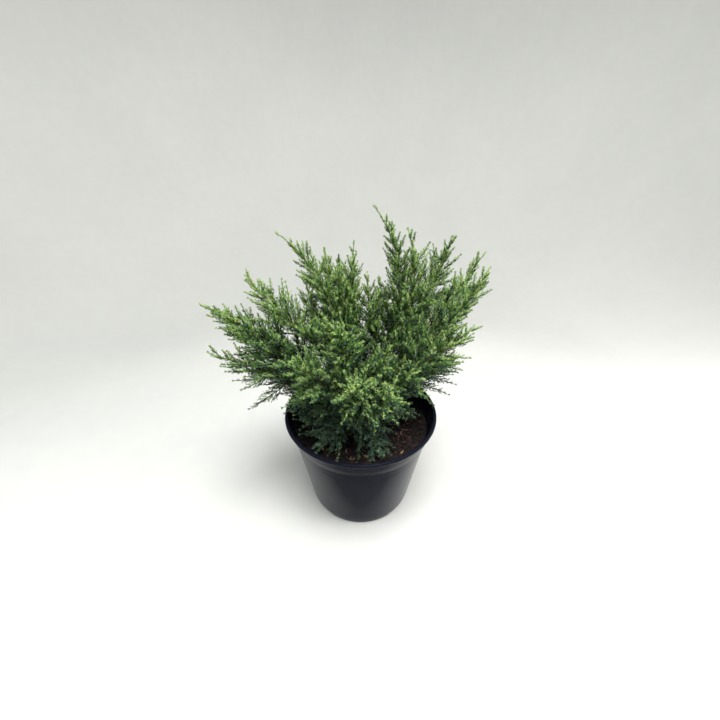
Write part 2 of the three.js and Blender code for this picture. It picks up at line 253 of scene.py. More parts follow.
def repeated(faces: np.ndarray, count: int, points: int) -> np.ndarray:
    """The faces of many equal shapes, from those of one and how many points it has."""
    return (faces[None] + np.arange(count)[:, None, None] * points).reshape(-1, faces.shape[1])


@dataclass
class Skin:
    """Collects points and faces in millimetres, and makes one mesh object of them."""

    name: str
    points: list[np.ndarray] = field(default_factory=list)
    faces: list[np.ndarray] = field(default_factory=list)
    finishes: list[np.ndarray] = field(default_factory=list)
    count: int = 0

    def add(self, points: np.ndarray, faces: np.ndarray, finish: int | np.ndarray = 0) -> None:
        """Adds faces.

        Args:
            points: the corners' places.
            faces: rows of indices into points, with the same number of corners in each row.
            finish: the index of the faces' material, or one index for each face.
        """
        self.points.append(points.reshape(-1, 3))
        self.faces.append(faces.astype(np.int32) + self.count)
        self.finishes.append(np.broadcast_to(finish, (len(faces),)).astype(np.int32))
        self.count += points.reshape(-1, 3).shape[0]

    def add_tube(
        self,
        rings: np.ndarray,
        ends: np.ndarray,
        finish: int | np.ndarray = 0,
        end_finish: int = 0,
        flip: bool = False,
    ) -> None:
        """Adds a tube with closed ends.

        Args:
            rings: its points, first by ring and then round it.
            ends: the middle of its first end, and of its last if that one is closed too.
            finish: the index of its sides' material, or one index for each face.
            end_finish: the index of its ends' material.
            flip: turns its faces over.
        """
        count, sides = rings.shape[:2]
        base, middle = self.count, self.count + count * sides
        faces = tube_faces(count, sides)
        self.add(np.concatenate([rings.reshape(-1, 3), ends]), faces[:, ::-1] if flip else faces, finish)
        starts = (base, middle - sides)
        for index in range(len(ends)):
            self.faces.append(fan_faces(starts[index], sides, middle + index, flip == bool(index)))
            self.finishes.append(np.full(sides, end_finish, dtype=np.int32))

    def triangles(self) -> int:
        """How many triangles the mesh has."""
        return sum(len(rows) * (rows.shape[1] - 2) for rows in self.faces)

    def build(self, materials: Sequence[bpy.types.Material], lift: float = 0.0) -> bpy.types.Object:
        """Makes the object.

        Args:
            materials: the materials that the finishes point to.
            lift: how far to raise every point, in millimetres.

        Returns:
            The new object, linked to the scene.
        """
        mesh = bpy.data.meshes.new(self.name)
        places = (np.concatenate(self.points) + UP * lift) * METRE
        corners = np.concatenate([rows.ravel() for rows in self.faces])
        sizes = np.concatenate([np.full(len(rows), rows.shape[1]) for rows in self.faces])
        starts = np.concatenate([[0], np.cumsum(sizes)[:-1]])
        mesh.vertices.add(len(places))
        mesh.vertices.foreach_set("co", places.astype(np.float32).ravel())
        mesh.loops.add(len(corners))
        mesh.loops.foreach_set("vertex_index", corners)
        mesh.polygons.add(len(sizes))
        mesh.polygons.foreach_set("loop_start", starts.astype(np.int32))
        mesh.polygons.foreach_set("material_index", np.concatenate(self.finishes))
        mesh.polygons.foreach_set("use_smooth", np.ones(len(sizes), dtype=bool))
        mesh.update(calc_edges=True)
        for material in materials:
            mesh.materials.append(material)
        made = bpy.data.objects.new(self.name, mesh)
        bpy.context.scene.collection.objects.link(made)
        return made


def finish_piece(made: bpy.types.Object, replaced: Sequence[str] = ()) -> None:
    """Ties a piece to the plant's body.

    Args:
        made: the piece.
        replaced: the solids that it stands for.
    """
    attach(made, BODY)
    if replaced:
        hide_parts(*replaced)
    LOG.info("%s: %d faces, stands for %d solids", made.name, len(made.data.polygons), len(replaced))


# Finishes


class Graph:
    """A small helper that adds and joins shader nodes."""

    def __init__(self, tree: bpy.types.NodeTree) -> None:
        """Works on a node tree."""
        self.tree = tree

    def node(self, kind: str, **values: object) -> bpy.types.Node:
        """Adds a node.

        Args:
            kind: the node's type name.
            values: its properties.

        Returns:
            The new node.
        """
        made = self.tree.nodes.new(kind)
        for name, value in values.items():
            setattr(made, name, value)
        return made

    def put(self, socket: bpy.types.NodeSocket, value: object) -> None:
        """Sets or links one input.

        Args:
            socket: the input.
            value: an output socket or a plain value.
        """
        if isinstance(value, bpy.types.NodeSocket):
            self.tree.links.new(value, socket)
        else:
            socket.default_value = value

    def feed(self, node: bpy.types.Node, **sockets: object) -> bpy.types.Node:
        """Sets or links a node's inputs.

        Args:
            node: the node.
            sockets: an input's name with _ for a space, and an output socket or a plain value.

        Returns:
            The same node.
        """
        for name, value in sockets.items():
            self.put(node.inputs[name.replace("_", " ")], value)
        return node

    def maths(self, operation: str, *values: object) -> bpy.types.NodeSocket:
        """Adds a maths node.

        Args:
            operation: its operation.
            values: its inputs in order, each an output socket or a number.

        Returns:
            Its output.
        """
        made = self.node("ShaderNodeMath", operation=operation)
        for index, value in enumerate(values):
            self.put(made.inputs[index], value)
        return made.outputs[0]

    def ramp(self, value: object, source: Span, result: Span) -> bpy.types.NodeSocket:
        """Maps a value from one range to another, and clamps it.

        Args:
            value: the output socket to map.
            source: the range that it is mapped from.
            result: the range that it is mapped to.

        Returns:
            The mapped value.
        """
        names = ("From_Min", "From_Max", "To_Min", "To_Max")
        limits = dict(zip(names, (*source, *result)))
        return self.feed(self.node("ShaderNodeMapRange"), Value=value, **limits).outputs[0]

    def mix(self, share: object, first: object, second: object, blend: str = "MIX") -> bpy.types.NodeSocket:
        """Mixes two colours.

        Args:
            share: how much of the second, from 0 to 1.
            first: an output socket or a colour.
            second: an output socket or a colour.
            blend: the way of mixing.

        Returns:
            The mixed colour.
        """
        made = self.node("ShaderNodeMix", data_type="RGBA", blend_type=blend)
        shares, firsts, seconds = made.inputs[0], made.inputs[6], made.inputs[7]  # those for colours
        for socket, value in ((shares, share), (firsts, first), (seconds, second)):
            self.put(socket, value)
        return made.outputs[2]

    def noise(self, where: bpy.types.NodeSocket, scale: object, detail: float = 2.0) -> bpy.types.NodeSocket:
        """Adds a noise with a scale and a number of finer layers."""
        made = self.node("ShaderNodeTexNoise")
        return self.feed(made, Vector=where, Scale=scale, Detail=detail).outputs[0]

    def where(self) -> bpy.types.NodeSocket:
        """Adds the place on the object."""
        return self.node("ShaderNodeTexCoord").outputs["Object"]

    def apart(self, vector: bpy.types.NodeSocket) -> bpy.types.NodeOutputs:
        """Adds the X, Y and Z of a vector."""
        return self.feed(self.node("ShaderNodeSeparateXYZ"), Vector=vector).outputs

    def effect(self, tree: bpy.types.NodeTree, **values: object) -> bpy.types.Node:
        """Places a shared node group, with values for its inputs."""
        return self.feed(self.node("ShaderNodeGroup", node_tree=tree), **values)


def linear(colour: Colour) -> tuple[float, ...]:
    """A screen colour of 0 to 255 as a shader's linear colour with alpha 1, by the sRGB curve."""
    shares = [value / 255 for value in colour]
    return (*(s / 12.92 if s <= 0.04045 else ((s + 0.055) / 1.055) ** 2.4 for s in shares), 1.0)


def shader_group(name: str, inputs: dict[str, object], outputs: Sequence[str]) -> Graph:
    """An empty node group with named sockets.

    Args:
        name: the group's name.
        inputs: each input's name and default, where four numbers are a colour.
        outputs: each output's name, where a name that ends in colour is a colour.

    Returns:
        The graph of the group, with its input and output nodes.
    """
    tree = bpy.data.node_groups.new(name, "ShaderNodeTree")
    for label, value in inputs.items():
        kind = "NodeSocketColor" if isinstance(value, tuple) else "NodeSocketFloat"
        socket = tree.interface.new_socket(label, in_out="INPUT", socket_type=kind)
        socket.default_value = value
    for label in outputs:
        kind = "NodeSocketColor" if label.endswith("colour") else "NodeSocketFloat"
        tree.interface.new_socket(label, in_out="OUTPUT", socket_type=kind)
    tree.nodes.new("NodeGroupInput")
    tree.nodes.new("NodeGroupOutput")
    return Graph(tree)


class Effects:
    """The effects that several finishes share, each one a node group that is built once."""

    WHOLE: Span = (0.0, 1.0)
    PATCH_EDGES: Span = (0.35, 0.65)
    FINE_EDGES: Span = (0.3, 0.7)
    SPOT_EDGES: Span = (0.42, 0.75)
    LEVEL_DUST: Span = (0.35, 1.0)

    def __init__(self) -> None:
        """Builds the groups."""
        self.mottle, self.grain, self.dust = self._mottle(), self._grain(), self._dust()

    def _mottle(self) -> bpy.types.NodeTree:
        """Patches of a second colour, and a finer change of brightness.

        Returns:
            The group.
        """
        grey = (0.5, 0.5, 0.5, 1.0)
        inputs: dict[str, object] = {"Main colour": grey, "Patch colour": grey, "Patch scale": 60.0}
        inputs |= {"Patch share": 0.5, "Fine scale": 900.0, "Fine depth": 0.25}
        graph = shader_group("mottle", inputs, ["Mottled colour", "Patch mask"])
        given = graph.tree.nodes["Group Input"].outputs
        where = graph.where()
        patch = graph.ramp(graph.noise(where, given["Patch scale"]), self.PATCH_EDGES, self.WHOLE)
        mask = graph.maths("MULTIPLY", patch, given["Patch share"])
        colour = graph.mix(mask, given["Main colour"], given["Patch colour"])
        fine = graph.ramp(graph.noise(where, given["Fine scale"], 1.0), self.FINE_EDGES, (-1.0, 1.0))
        light = graph.maths("MULTIPLY_ADD", fine, given["Fine depth"], 1.0)
        shade = graph.feed(graph.node("ShaderNodeCombineColor"), Red=light, Green=light, Blue=light)
        product = graph.mix(1.0, colour, shade.outputs[0], "MULTIPLY")
        graph.feed(graph.tree.nodes["Group Output"], Mottled_colour=product, Patch_mask=mask)
        return graph.tree

    @staticmethod
    def _grain() -> bpy.types.NodeTree:
        """A height from a coarse and a fine noise, stretched along the height axis.

        Returns:
            The group.
        """
        inputs = {"Coarse scale": 200.0, "Fine scale": 1200.0, "Fine share": 0.4, "Stretch": 1.0}
        graph = shader_group("grain", inputs, ["Height"])
        given = graph.tree.nodes["Group Input"].outputs
        apart = graph.apart(graph.where())
        height = graph.maths("MULTIPLY", apart["Z"], given["Stretch"])
        joined = graph.node("ShaderNodeCombineXYZ")
        joined = graph.feed(joined, X=apart["X"], Y=apart["Y"], Z=height).outputs[0]
        coarse = graph.noise(joined, given["Coarse scale"], 3.0)
        fine = graph.noise(joined, given["Fine scale"])
        total = graph.maths("MULTIPLY_ADD", fine, given["Fine share"], coarse)
        graph.feed(graph.tree.nodes["Group Output"], Height=total)
        return graph.tree

    def _dust(self) -> bpy.types.NodeTree:
        """A thin film of dust, thicker on faces that look up.

        Returns:
            The group.
        """
        grey = (0.3, 0.3, 0.3, 1.0)
        inputs = {"Clean colour": grey, "Dust colour": grey, "Amount": 0.2, "Scale": 40.0}
        graph = shader_group("dust", inputs, ["Dusty colour", "Dust mask"])
        given = graph.tree.nodes["Group Input"].outputs
        upward = graph.apart(graph.node("ShaderNodeNewGeometry").outputs["Normal"])["Z"]
        level = graph.ramp(upward, self.WHOLE, self.LEVEL_DUST)
        spots = graph.ramp(graph.noise(graph.where(), given["Scale"], 4.0), self.SPOT_EDGES, self.WHOLE)
        mask = graph.maths("MULTIPLY", graph.maths("MULTIPLY", spots, level), given["Amount"])
        colour = graph.mix(mask, given["Clean colour"], given["Dust colour"])
        graph.feed(graph.tree.nodes["Group Output"], Dusty_colour=colour, Dust_mask=mask)
        return graph.tree


@dataclass(frozen=True)
class Mottle:
    """Patches and finer specks of a colour, with noise scales by the metre."""

    patch_scale: float
    patch_share: float
    fine_scale: float
    fine_depth: float


@dataclass(frozen=True)
class Grain:
    """A bumpy grain, with noise scales by the metre and its depth in metres."""

    coarse_scale: float
    fine_scale: float
    fine_share: float
    depth: float
    strength: float
    stretch: float = 1.0


@dataclass(frozen=True)
class Dust:
    """A film of dust."""

    amount: float
    colour: Colour = (128, 112, 92)
    scale: float = 130.0


@dataclass(frozen=True)
class Finish:
    """Two base colours in patches, with a roughness, and for most finishes a grain and dust.

    The first roughness is that of clean main colour, and the second that of patches or dust.
    """

    name: str
    main: Colour
    patch: Colour
    mottle: Mottle
    roughness: Span
    grain: Grain | None = None
    dust: Dust | None = None
    specular: float = 0.5

    def make(self, effects: Effects) -> bpy.types.Material:
        """Makes the material.

        Args:
            effects: the shared node groups.

        Returns:
            The material.
        """
        material = bpy.data.materials.new(self.name)
        material.use_nodes = True
        graph = Graph(material.node_tree)
        shader = material.node_tree.nodes["Principled BSDF"]
        colour, mask = graph.effect(
            effects.mottle,
            Main_colour=linear(self.main),
            Patch_colour=linear(self.patch),
            Patch_scale=self.mottle.patch_scale,
            Patch_share=self.mottle.patch_share,
            Fine_scale=self.mottle.fine_scale,
            Fine_depth=self.mottle.fine_depth,
        ).outputs
        if self.dust:
            film = {"Amount": self.dust.amount, "Scale": self.dust.scale}
            dust = linear(self.dust.colour)
            colour, mask = graph.effect(effects.dust, Clean_colour=colour, Dust_colour=dust, **film).outputs
        most = self.dust.amount if self.dust else 1.0
        even = self.roughness[0] == self.roughness[1]
        rough = self.roughness[0] if even else graph.ramp(mask, (0.0, most), self.roughness)
        graph.feed(shader, Base_Color=colour, Roughness=rough)
        if self.grain:
            self._roughen(graph, shader, effects)
        self._shine(graph, shader)
        return material

    def _roughen(self, graph: Graph, shader: bpy.types.Node, effects: Effects) -> None:
        """Gives the shader the grain as a bumpy normal.

        Args:
            graph: the material's graph.
            shader: its main shader.
            effects: the shared node groups.
        """
        grain = self.grain
        scales = {"Coarse_scale": grain.coarse_scale, "Fine_scale": grain.fine_scale}
        height = graph.effect(effects.grain, Fine_share=grain.fine_share, Stretch=grain.stretch, **scales)
        bump = graph.node("ShaderNodeBump")
        graph.feed(bump, Height=height.outputs["Height"], Distance=grain.depth, Strength=grain.strength)
        graph.feed(shader, Normal=bump.outputs[0])

    def _shine(self, graph: Graph, shader: bpy.types.Node) -> None:
        """Sets how much the shader mirrors."""
        graph.feed(shader, Specular_IOR_Level=self.specular)


@dataclass(frozen=True)
class PlasticFinish(Finish):
    """Satin black moulded plastic, a little blue, that mirrors more where it turns away."""

    name: str = "pot_plastic"
    main: Colour = (17, 20, 29)
    patch: Colour = (21, 24, 35)
    mottle: Mottle = Mottle(9.0, 0.8, 380.0, 0.06)
    roughness: Span = (0.2, 0.34)
    grain: Grain | None = Grain(900.0, 3200.0, 0.6, 0.00008, 0.35)
    dust: Dust | None = Dust(0.02, (120, 114, 106), 70.0)
    turned_away: Span = (0.58, 1.0)
    turned_specular: Span = (0.02, 0.34)
    tint: tuple[float, ...] = (0.8, 0.88, 1.0, 1.0)

    def _shine(self, graph: Graph, shader: bpy.types.Node) -> None:
        """Sets how much the shader mirrors.

        Args:
            graph: the material's graph.
            shader: its main shader.
        """
        edge = graph.feed(graph.node("ShaderNodeLayerWeight"), Blend=0.5)
        gloss = graph.ramp(edge.outputs["Facing"], self.turned_away, self.turned_specular)
        graph.feed(shader, Specular_IOR_Level=gloss, Specular_Tint=self.tint)


def bark(name: str, main: Colour, patch: Colour, dust: float) -> Finish:
    """Dull bark with long ridges and a little dust."""
    grain = Grain(700.0, 2600.0, 0.4, 0.0006, 0.9, 0.25)
    return Finish(name, main, patch, Mottle(160.0, 0.9, 1100.0, 0.35), (0.88, 0.88), grain, Dust(dust), 0.3)


def earth(name: str, main: Colour, patch: Colour) -> Finish:
    """Compost, a crumb, a bark chip or a fibre: matt and grainy."""
    grain = Grain(420.0, 1700.0, 0.7, 0.0009, 1.0)
    return Finish(name, main, patch, Mottle(110.0, 1.0, 900.0, 0.45), (0.85, 0.97), grain)


def leaf(tone: Tone) -> Finish:
    """Scale leaves of one tone: waxy, with patches of a second green.

    Args:
        tone: the tone.

    Returns:
        The finish.
    """
    main, patch, roughness = LEAVES[tone]
    grain = Grain(1500.0, 4200.0, 0.5, 0.0002, 0.5)
    mottle = Mottle(95.0, 0.8, 1400.0, 0.22)
    span = (roughness, roughness + 0.12)
    return Finish("leaves_" + tone.name.lower(), main, patch, mottle, span, grain, specular=0.28)


class Tone(IntEnum):
    """The tones of the leaves, from old and shaded to young. The last four are apart."""

    SHADE = 0
    DEEP = 1
    MIDDLE = 2
    GRASS = 3
    FRESH = 4
    LIME = 5
    GLAUCOUS = 6
    BROWN = 7
    SUNNY_MIDDLE = 8
    SUNNY_GRASS = 9


# The main colour, the colour of the patches and the roughness of each tone.
LEAVES = {
    Tone.SHADE: ((12, 32, 10), (11, 29, 17), 0.46),
    Tone.DEEP: ((42, 76, 35), (38, 70, 45), 0.46),
    Tone.MIDDLE: ((90, 127, 65), (76, 113, 70), 0.46),
    Tone.GRASS: ((125, 161, 88), (106, 146, 87), 0.46),
    Tone.FRESH: ((164, 192, 122), (142, 174, 110), 0.46),
    Tone.LIME: ((188, 209, 130), (168, 194, 120), 0.46),
    Tone.GLAUCOUS: ((108, 138, 118), (90, 120, 104), 0.62),
    Tone.BROWN: ((134, 110, 76), (110, 104, 66), 0.65),
    # Painted sunlight: yellower, lit copies of the middle and grass tones, for growth high up.
    Tone.SUNNY_MIDDLE: ((90, 128, 50), (75, 114, 52), 0.46),
    Tone.SUNNY_GRASS: ((128, 161, 66), (109, 147, 66), 0.46),
}

# The values of youth and painted light where one tone gives way to the next, from painted shade to lime.
TONE_EDGES = np.array([0.26, 0.39, 0.52, 0.65, 0.82])

FLOOR_MOTTLE = Mottle(3.0, 0.6, 30.0, 0.01)
FLOOR_FINISH = Finish("pale_floor", (206, 207, 204), (201, 202, 200), FLOOR_MOTTLE, (0.75, 0.75))

COMPOST_FINISHES = {
    "bed": earth("compost_dark", (17, 10, 8), (10, 6, 5)),
    "bark": earth("compost_bark", (32, 19, 15), (21, 13, 10)),
    "rust": earth("compost_rust", (52, 28, 21), (36, 20, 15)),
    "straw": earth("compost_straw", (158, 128, 96), (120, 90, 64)),
}

BARK_FINISH = bark("old_bark", (98, 72, 54), (70, 50, 38), 0.3)

# The woody and the green part of a twig.
TWIG_FINISHES = (
    bark("twig_bark", (104, 80, 52), (84, 66, 42), 0.1),
    bark("green_twig", (98, 116, 60), (84, 102, 54), 0.05),
)


# The pot

# Corners of the pot's outline, as steps in radius and in height from where two lines would meet.
FOOT_CORNER = ((-2.2, 0.0), (-1.1, 0.35), (-0.5, 1.2))
SHOULDER_CORNER = ((-0.1, -1.4), (0.0, -0.7), (0.35, -0.1))
BAND_CORNER = ((-0.5, 0.35), (0.0, 0.9), (0.06, 1.6))
UNDER_LIP_CORNER = ((0.0, -0.5), (0.5, -0.1))
INNER_LIP_CORNER = ((1.6, 0.0), (0.7, -0.2), (0.15, -0.7))


@dataclass
class NurseryPot:
    """The round pot, with a rolled lip, a smooth band, fine mould lines and a notched foot."""

    height: float = 164.0
    sides: int = 192
    wall: float = 1.8
    floor: float = 6.0
    floor_ring: float = 60.0
    foot_radius: float = 84.5
    foot_inset: float = 0.1
    foot_heights: tuple[float, ...] = (2.6, 5.2, 5.8)
    body_from: float = 6.6
    body_rings: int = 16
    body_clear_of_band: float = 18.0
    shoulder_radius: float = 103.7
    mould_lines: int = 5
    mould_lines_under_band: float = 15.5
    mould_line_gap: float = 2.6
    mould_line_depth: float = 0.09
    mould_line_half: float = 0.6
    band_height: float = 25.0
    band_step: float = 2.3
    band_shares: tuple[float, ...] = (0.2, 0.4, 0.6, 0.8, 0.94)
    lip_radius: float = 113.0
    lip_height: float = 4.5
    lip_stand_out: float = 3.0
    lip_roll: float = 2.2
    lip_degrees: Span = (-78, 90)
    lip_rings: int = 11
    depths_under_lip: tuple[float, ...] = (1.5, 8, 16)
    heights_inside: tuple[float, ...] = (100.0, 50.0)
    underside_ring: float = 30.0
    recesses: int = 4
    recess_half_angle: float = math.radians(14)
    recess_edge_shares: Span = (0.8, 1.02)
    recess_inner_radius: float = 62.0
    recess_inner_half: float = 0.9
    recess_depth: float = 4.5
    recess_rise: Span = (1.0, 6.5)
    hole_radius: float = 5.0
    hole_at: float = 72.0
    hole_sides: int = 24
    drill_over_floor: float = 3.0

    @property
    def band_foot(self) -> float:
        """The height where the tapered body ends."""
        return self.height - self.band_height

    @property
    def band_top_radius(self) -> float:
        """The band's radius under the lip."""
        return self.lip_radius - self.lip_stand_out

    def inner_radius(self, height: np.ndarray | float) -> np.ndarray:
        """The radius inside the wall.

        Args:
            height: heights over the pot's underside.

        Returns:
            One radius for each height.
        """
        share = np.minimum(1, height / self.band_foot)
        body = self.foot_radius + (self.shoulder_radius - self.foot_radius) * share - self.wall
        up = (height - self.band_foot) / self.band_height
        inner = self.shoulder_radius + self.band_step - self.wall
        band = inner + (self.band_top_radius - self.wall - inner) * up
        return np.where(height <= self.band_foot, body, band)

    def outer_radius(self, height: float) -> float:
        """The radius of the tapered body at a height."""
        return self.foot_radius + (self.shoulder_radius - self.foot_radius) * height / self.band_foot

    def _outside(self) -> list[tuple[float, float]]:
        """The outline from the middle of the underside to the band's foot.

        Returns:
            Pairs of radius and height.
        """
        edge = self.recess_inner_radius
        outline = [(radius, 0.0) for radius in (0.0, self.underside_ring, edge - 1, edge + 1, self.hole_at)]
        outline += self._corner(self.foot_radius, 0.0, FOOT_CORNER)
        outline += [(self.outer_radius(z) - self.foot_inset, z) for z in self.foot_heights]
        top = self.band_foot - self.body_clear_of_band
        outline += [(self.outer_radius(z), z) for z in np.linspace(self.body_from, top, self.body_rings)]
        half = self.mould_line_half
        for line in range(self.mould_lines):
            z = self.band_foot - self.mould_lines_under_band + line * self.mould_line_gap
            for shift, depth in ((-half, 0.0), (0.0, self.mould_line_depth), (half, 0.0)):
                outline.append((self.outer_radius(z + shift) - depth, z + shift))
        return outline + self._corner(self.shoulder_radius, self.band_foot, SHOULDER_CORNER)

    def profile(self) -> list[tuple[float, float]]:
        """The whole outline, from the middle of the underside round to the middle of the floor.

        Returns:
            Pairs of radius and height.
        """
        foot, top = self.band_foot, self.height - self.lip_height
        low, wide = self.shoulder_radius + self.band_step, self.band_top_radius
        outline = self._outside() + self._corner(low, foot, BAND_CORNER)
        outline += [(low + (wide - low) * share, foot + (top - foot) * share) for share in self.band_shares]
        outline += self._corner(wide, top, UNDER_LIP_CORNER)
        middle = self.height - self.lip_height / 2
        for angle in np.radians(np.linspace(*self.lip_degrees, self.lip_rings)):
            across = self.lip_radius - self.lip_roll + self.lip_roll * math.cos(angle)
            outline.append((across, middle + self.lip_height / 2 * math.sin(angle)))
        outline += self._corner(wide - self.wall, self.height, INNER_LIP_CORNER)
        inside = [self.height - depth for depth in self.depths_under_lip]
        over_step = 1e-6  # reads the radius just over the step of the band
        outline += [(float(self.inner_radius(z + over_step)), z) for z in (*inside, foot + 1, foot)]
        under_step = foot - 1.2
        lower = (under_step, *self.heights_inside, self.floor)
        outline += [(float(self.inner_radius(z)), z) for z in lower]
        return outline + [(self.floor_ring, self.floor), (0.0, self.floor)]

    @staticmethod
    def _corner(radius: float, height: float, steps: Sequence[Span]) -> list[tuple[float, float]]:
        """A rounded corner of the outline."""
        return [(radius + across, height + up) for across, up in steps]

    def build(self, finish: bpy.types.Material) -> None:
        """Makes the pot.

        Args:
            finish: its material.
        """
        skin = Skin("nursery_pot")
        radius, height = np.array(self.profile())[1:-1].T
        height = height[:, None] + self._notch(radius[:, None], height[:, None], turns(self.sides))
        skin.add_tube(revolve(radius, height, self.sides), np.array([[0, 0, 0], [0, 0, self.floor]]))
        made = skin.build([finish])
        self._drill(made)
        finish_piece(made, ["pot"])

    def _notch(self, radius: np.ndarray, height: np.ndarray, turn: np.ndarray) -> np.ndarray:
        """How far the foot is raised where a recess runs in under it.

        Args:
            radius: the points' radii.
            height: their heights over the underside.
            turn: the angle of each column of points.

        Returns:
            The rise of each point.
        """
        pitch = FULL_TURN / self.recesses
        off = np.abs((turn % pitch) - pitch / 2)
        near, far = (self.recess_half_angle * share for share in self.recess_edge_shares)
        arch = 1 - smoothstep(off, near, far)
        edge, half = self.recess_inner_radius, self.recess_inner_half
        inside = smoothstep(radius, edge - half, edge + half)
        low = 1 - smoothstep(height, *self.recess_rise)
        return self.recess_depth * arch * inside * low * (height < self.recess_depth)

    def _drill(self, pot: bpy.types.Object) -> None:
        """Cuts the drainage holes through the floor.

        Args:
            pot: the pot's object.
        """
        skin = Skin("drill")
        heights = np.array([-1.0, self.floor + self.drill_over_floor])
        for index in range(self.recesses):
            angle = (index + 0.5) * FULL_TURN / self.recesses
            middle = self.hole_at * np.array([math.cos(angle), math.sin(angle), 0])
            rings = revolve(np.full(2, self.hole_radius), heights, self.hole_sides) + middle
            skin.add_tube(rings, middle + UP * heights[:, None])
        drill = skin.build([])
        cut = pot.modifiers.new("holes", "BOOLEAN")
        cut.operation = "DIFFERENCE"
        cut.solver = "EXACT"
        cut.object = drill
        bpy.context.view_layer.objects.active = pot
        bpy.ops.object.modifier_apply(modifier=cut.name)
        bpy.data.objects.remove(drill, do_unlink=True)


# The compost


@dataclass
class Compost:
    """The compost: a rough bed, with crumbs, bark chips and fibres that lie on it.

    Where a value is a pair for a draw, it is the least and how far it may be passed.
    """

    pot: NurseryPot
    top: float = 140.0
    ripple: float = 1.6
    # The pace and the shift of the ripples along x, along y and across both.
    ripples: tuple[Span, ...] = ((0.11, 1.3), (0.13, 0.4), (0.07, 0.0))
    edge_drop: float = 3.0
    edge_power: int = 4
    level_radius: float = 20.0
    clearance: float = 0.35
    ring_gap: float = 1.6
    sides: int = 300
    skirt_drop: float = 3.0
    skirt_middle: float = 60.0
    roughness: float = 1.5
    # The scale, the layer and the height of the bed's broad lumps, of its ridges and of its grit.
    lumps: tuple[float, float, float] = (0.09, 3.1, 0.9)
    ridges: tuple[float, float, float] = (0.33, 7.7, 1.1)
    grit: tuple[float, float, float] = (0.9, 1.2, 0.35)
    sunk: float = 0.8
    seed: int = 411
    clear_of_stem: Span = (13, 3)
    crumbs: int = 5200
    chips: int = 1250
    litter_margin: float = 4.0
    litter_lift: float = 0.7
    chip_long: Span = (1.4, 4.4)
    chip_wide: Span = (0.28, 0.4)
    chip_thick: Span = (0.35, 0.5)
    chip_kinds: tuple[float, ...] = (0.25, 0.6, 0.975)
    chip_tilt: Span = (0.35, 0.3)
    crumb_long: Span = (0.5, 0.9)
    crumb_wide: Span = (0.7, 0.3)
    crumb_thick: float = 0.8
    crumb_kinds: tuple[float, ...] = (0.52, 0.78, 0.985)
    crumb_tilt: float = 1.2
    corner_spread: Span = (0.75, 0.5)
    fibres: int = 240
    fibre_margin: float = 16.0
    fibre_rings: int = 7
    fibre_sides: int = 4
    fibre_half: Span = (4, 10)
    fibre_skew: float = 1.4
    fibre_bend: float = 0.35
    fibre_lift: float = 0.5
    fibre_arch: float = 1.1
    fibre_thick: Span = (0.2, 0.22)
    fibre_flatness: float = 1.6
    rusty_share: float = 0.3

    @property
    def edge(self) -> float:
        """The bed's radius at its top."""
        return float(self.pot.inner_radius(self.pot.band_foot)) - self.clearance

    def relief(self, x: np.ndarray, y: np.ndarray) -> np.ndarray:
        """The height of the bed's smooth form over its level.

        Args:
            x: places on the bed.
            y: the same.

        Returns:
            One height for each place.
        """
        radius = np.hypot(x, y)
        away = smoothstep(radius, self.level_radius, self.level_radius * 2)
        waves = sum(np.sin(way * pace + shift) for way, (pace, shift) in zip((x, y, x - y), self.ripples))
        drop = self.edge_drop * (radius / self.edge) ** self.edge_power
        return away * (waves * self.ripple * 0.5 - drop)

    def surface(self, x: np.ndarray, y: np.ndarray) -> np.ndarray:
        """The height of the rough bed over the pot's underside.

        Args:
            x: places on the bed.
            y: the same.

        Returns:
            One height for each place.
        """
        parts = []
        for scale, layer, height in (self.lumps, self.ridges, self.grit):
            places = zip(x * scale, y * scale)
            parts.append(np.array([noise.noise(Vector((px, py, layer))) for px, py in places]) * height)
        rough = parts[0] + np.abs(parts[1]) + parts[2]
        return self.top + self.relief(x, y) + rough * self.roughness - self.sunk

    def build(self, finishes: dict[str, bpy.types.Material]) -> None:
        """Makes the bed and what lies on it.

        Args:
            finishes: the materials by name.
        """
        self._build_bed(finishes["bed"])
        rng = np.random.default_rng(self.seed)
        self._build_litter(rng, [finishes[name] for name in ("bed", "bark", "rust", "straw")])
        self._build_fibres(rng, [finishes[name] for name in ("straw", "rust")])

    def _build_bed(self, finish: bpy.types.Material) -> None:
        """Makes the closed bed.

        Args:
            finish: its material.
        """
        radii = np.concatenate([np.arange(self.ring_gap, self.edge - 1, self.ring_gap), [self.edge]])
        bottom = self.pot.floor + self.clearance
        skirt = np.array([self.pot.band_foot - self.skirt_drop, self.skirt_middle, bottom])
        around = np.concatenate([radii, self.pot.inner_radius(skirt) - self.clearance])
        rings = revolve(around, np.concatenate([0 * radii, skirt]), self.sides)
        bed = rings[: len(radii)].reshape(-1, 3)
        bed[:, 2] = self.surface(bed[:, 0], bed[:, 1])
        middle = float(self.surface(np.zeros(1), np.zeros(1))[0])
        skin = Skin("compost_bed")
        skin.add_tube(rings, np.array([[0, 0, middle], [0, 0, bottom]]), flip=True)
        finish_piece(skin.build([finish]), ["compost"])

    def _scatter(self, rng: np.random.Generator, count: int, margin: float) -> tuple[np.ndarray, ...]:
        """Places on the bed.

        Args:
            rng: the seeded numbers.
            count: how many places.
            margin: how far they keep from the wall.

        Returns:
            Their x, y and z.
        """
        radius = (self.edge - margin) * np.sqrt(rng.random(count))
        radius = np.maximum(radius, ranged(self.clear_of_stem, rng.random(count)))
        turn = rng.random(count) * FULL_TURN
        x, y = radius * np.cos(turn), radius * np.sin(turn)
        return x, y, self.surface(x, y)

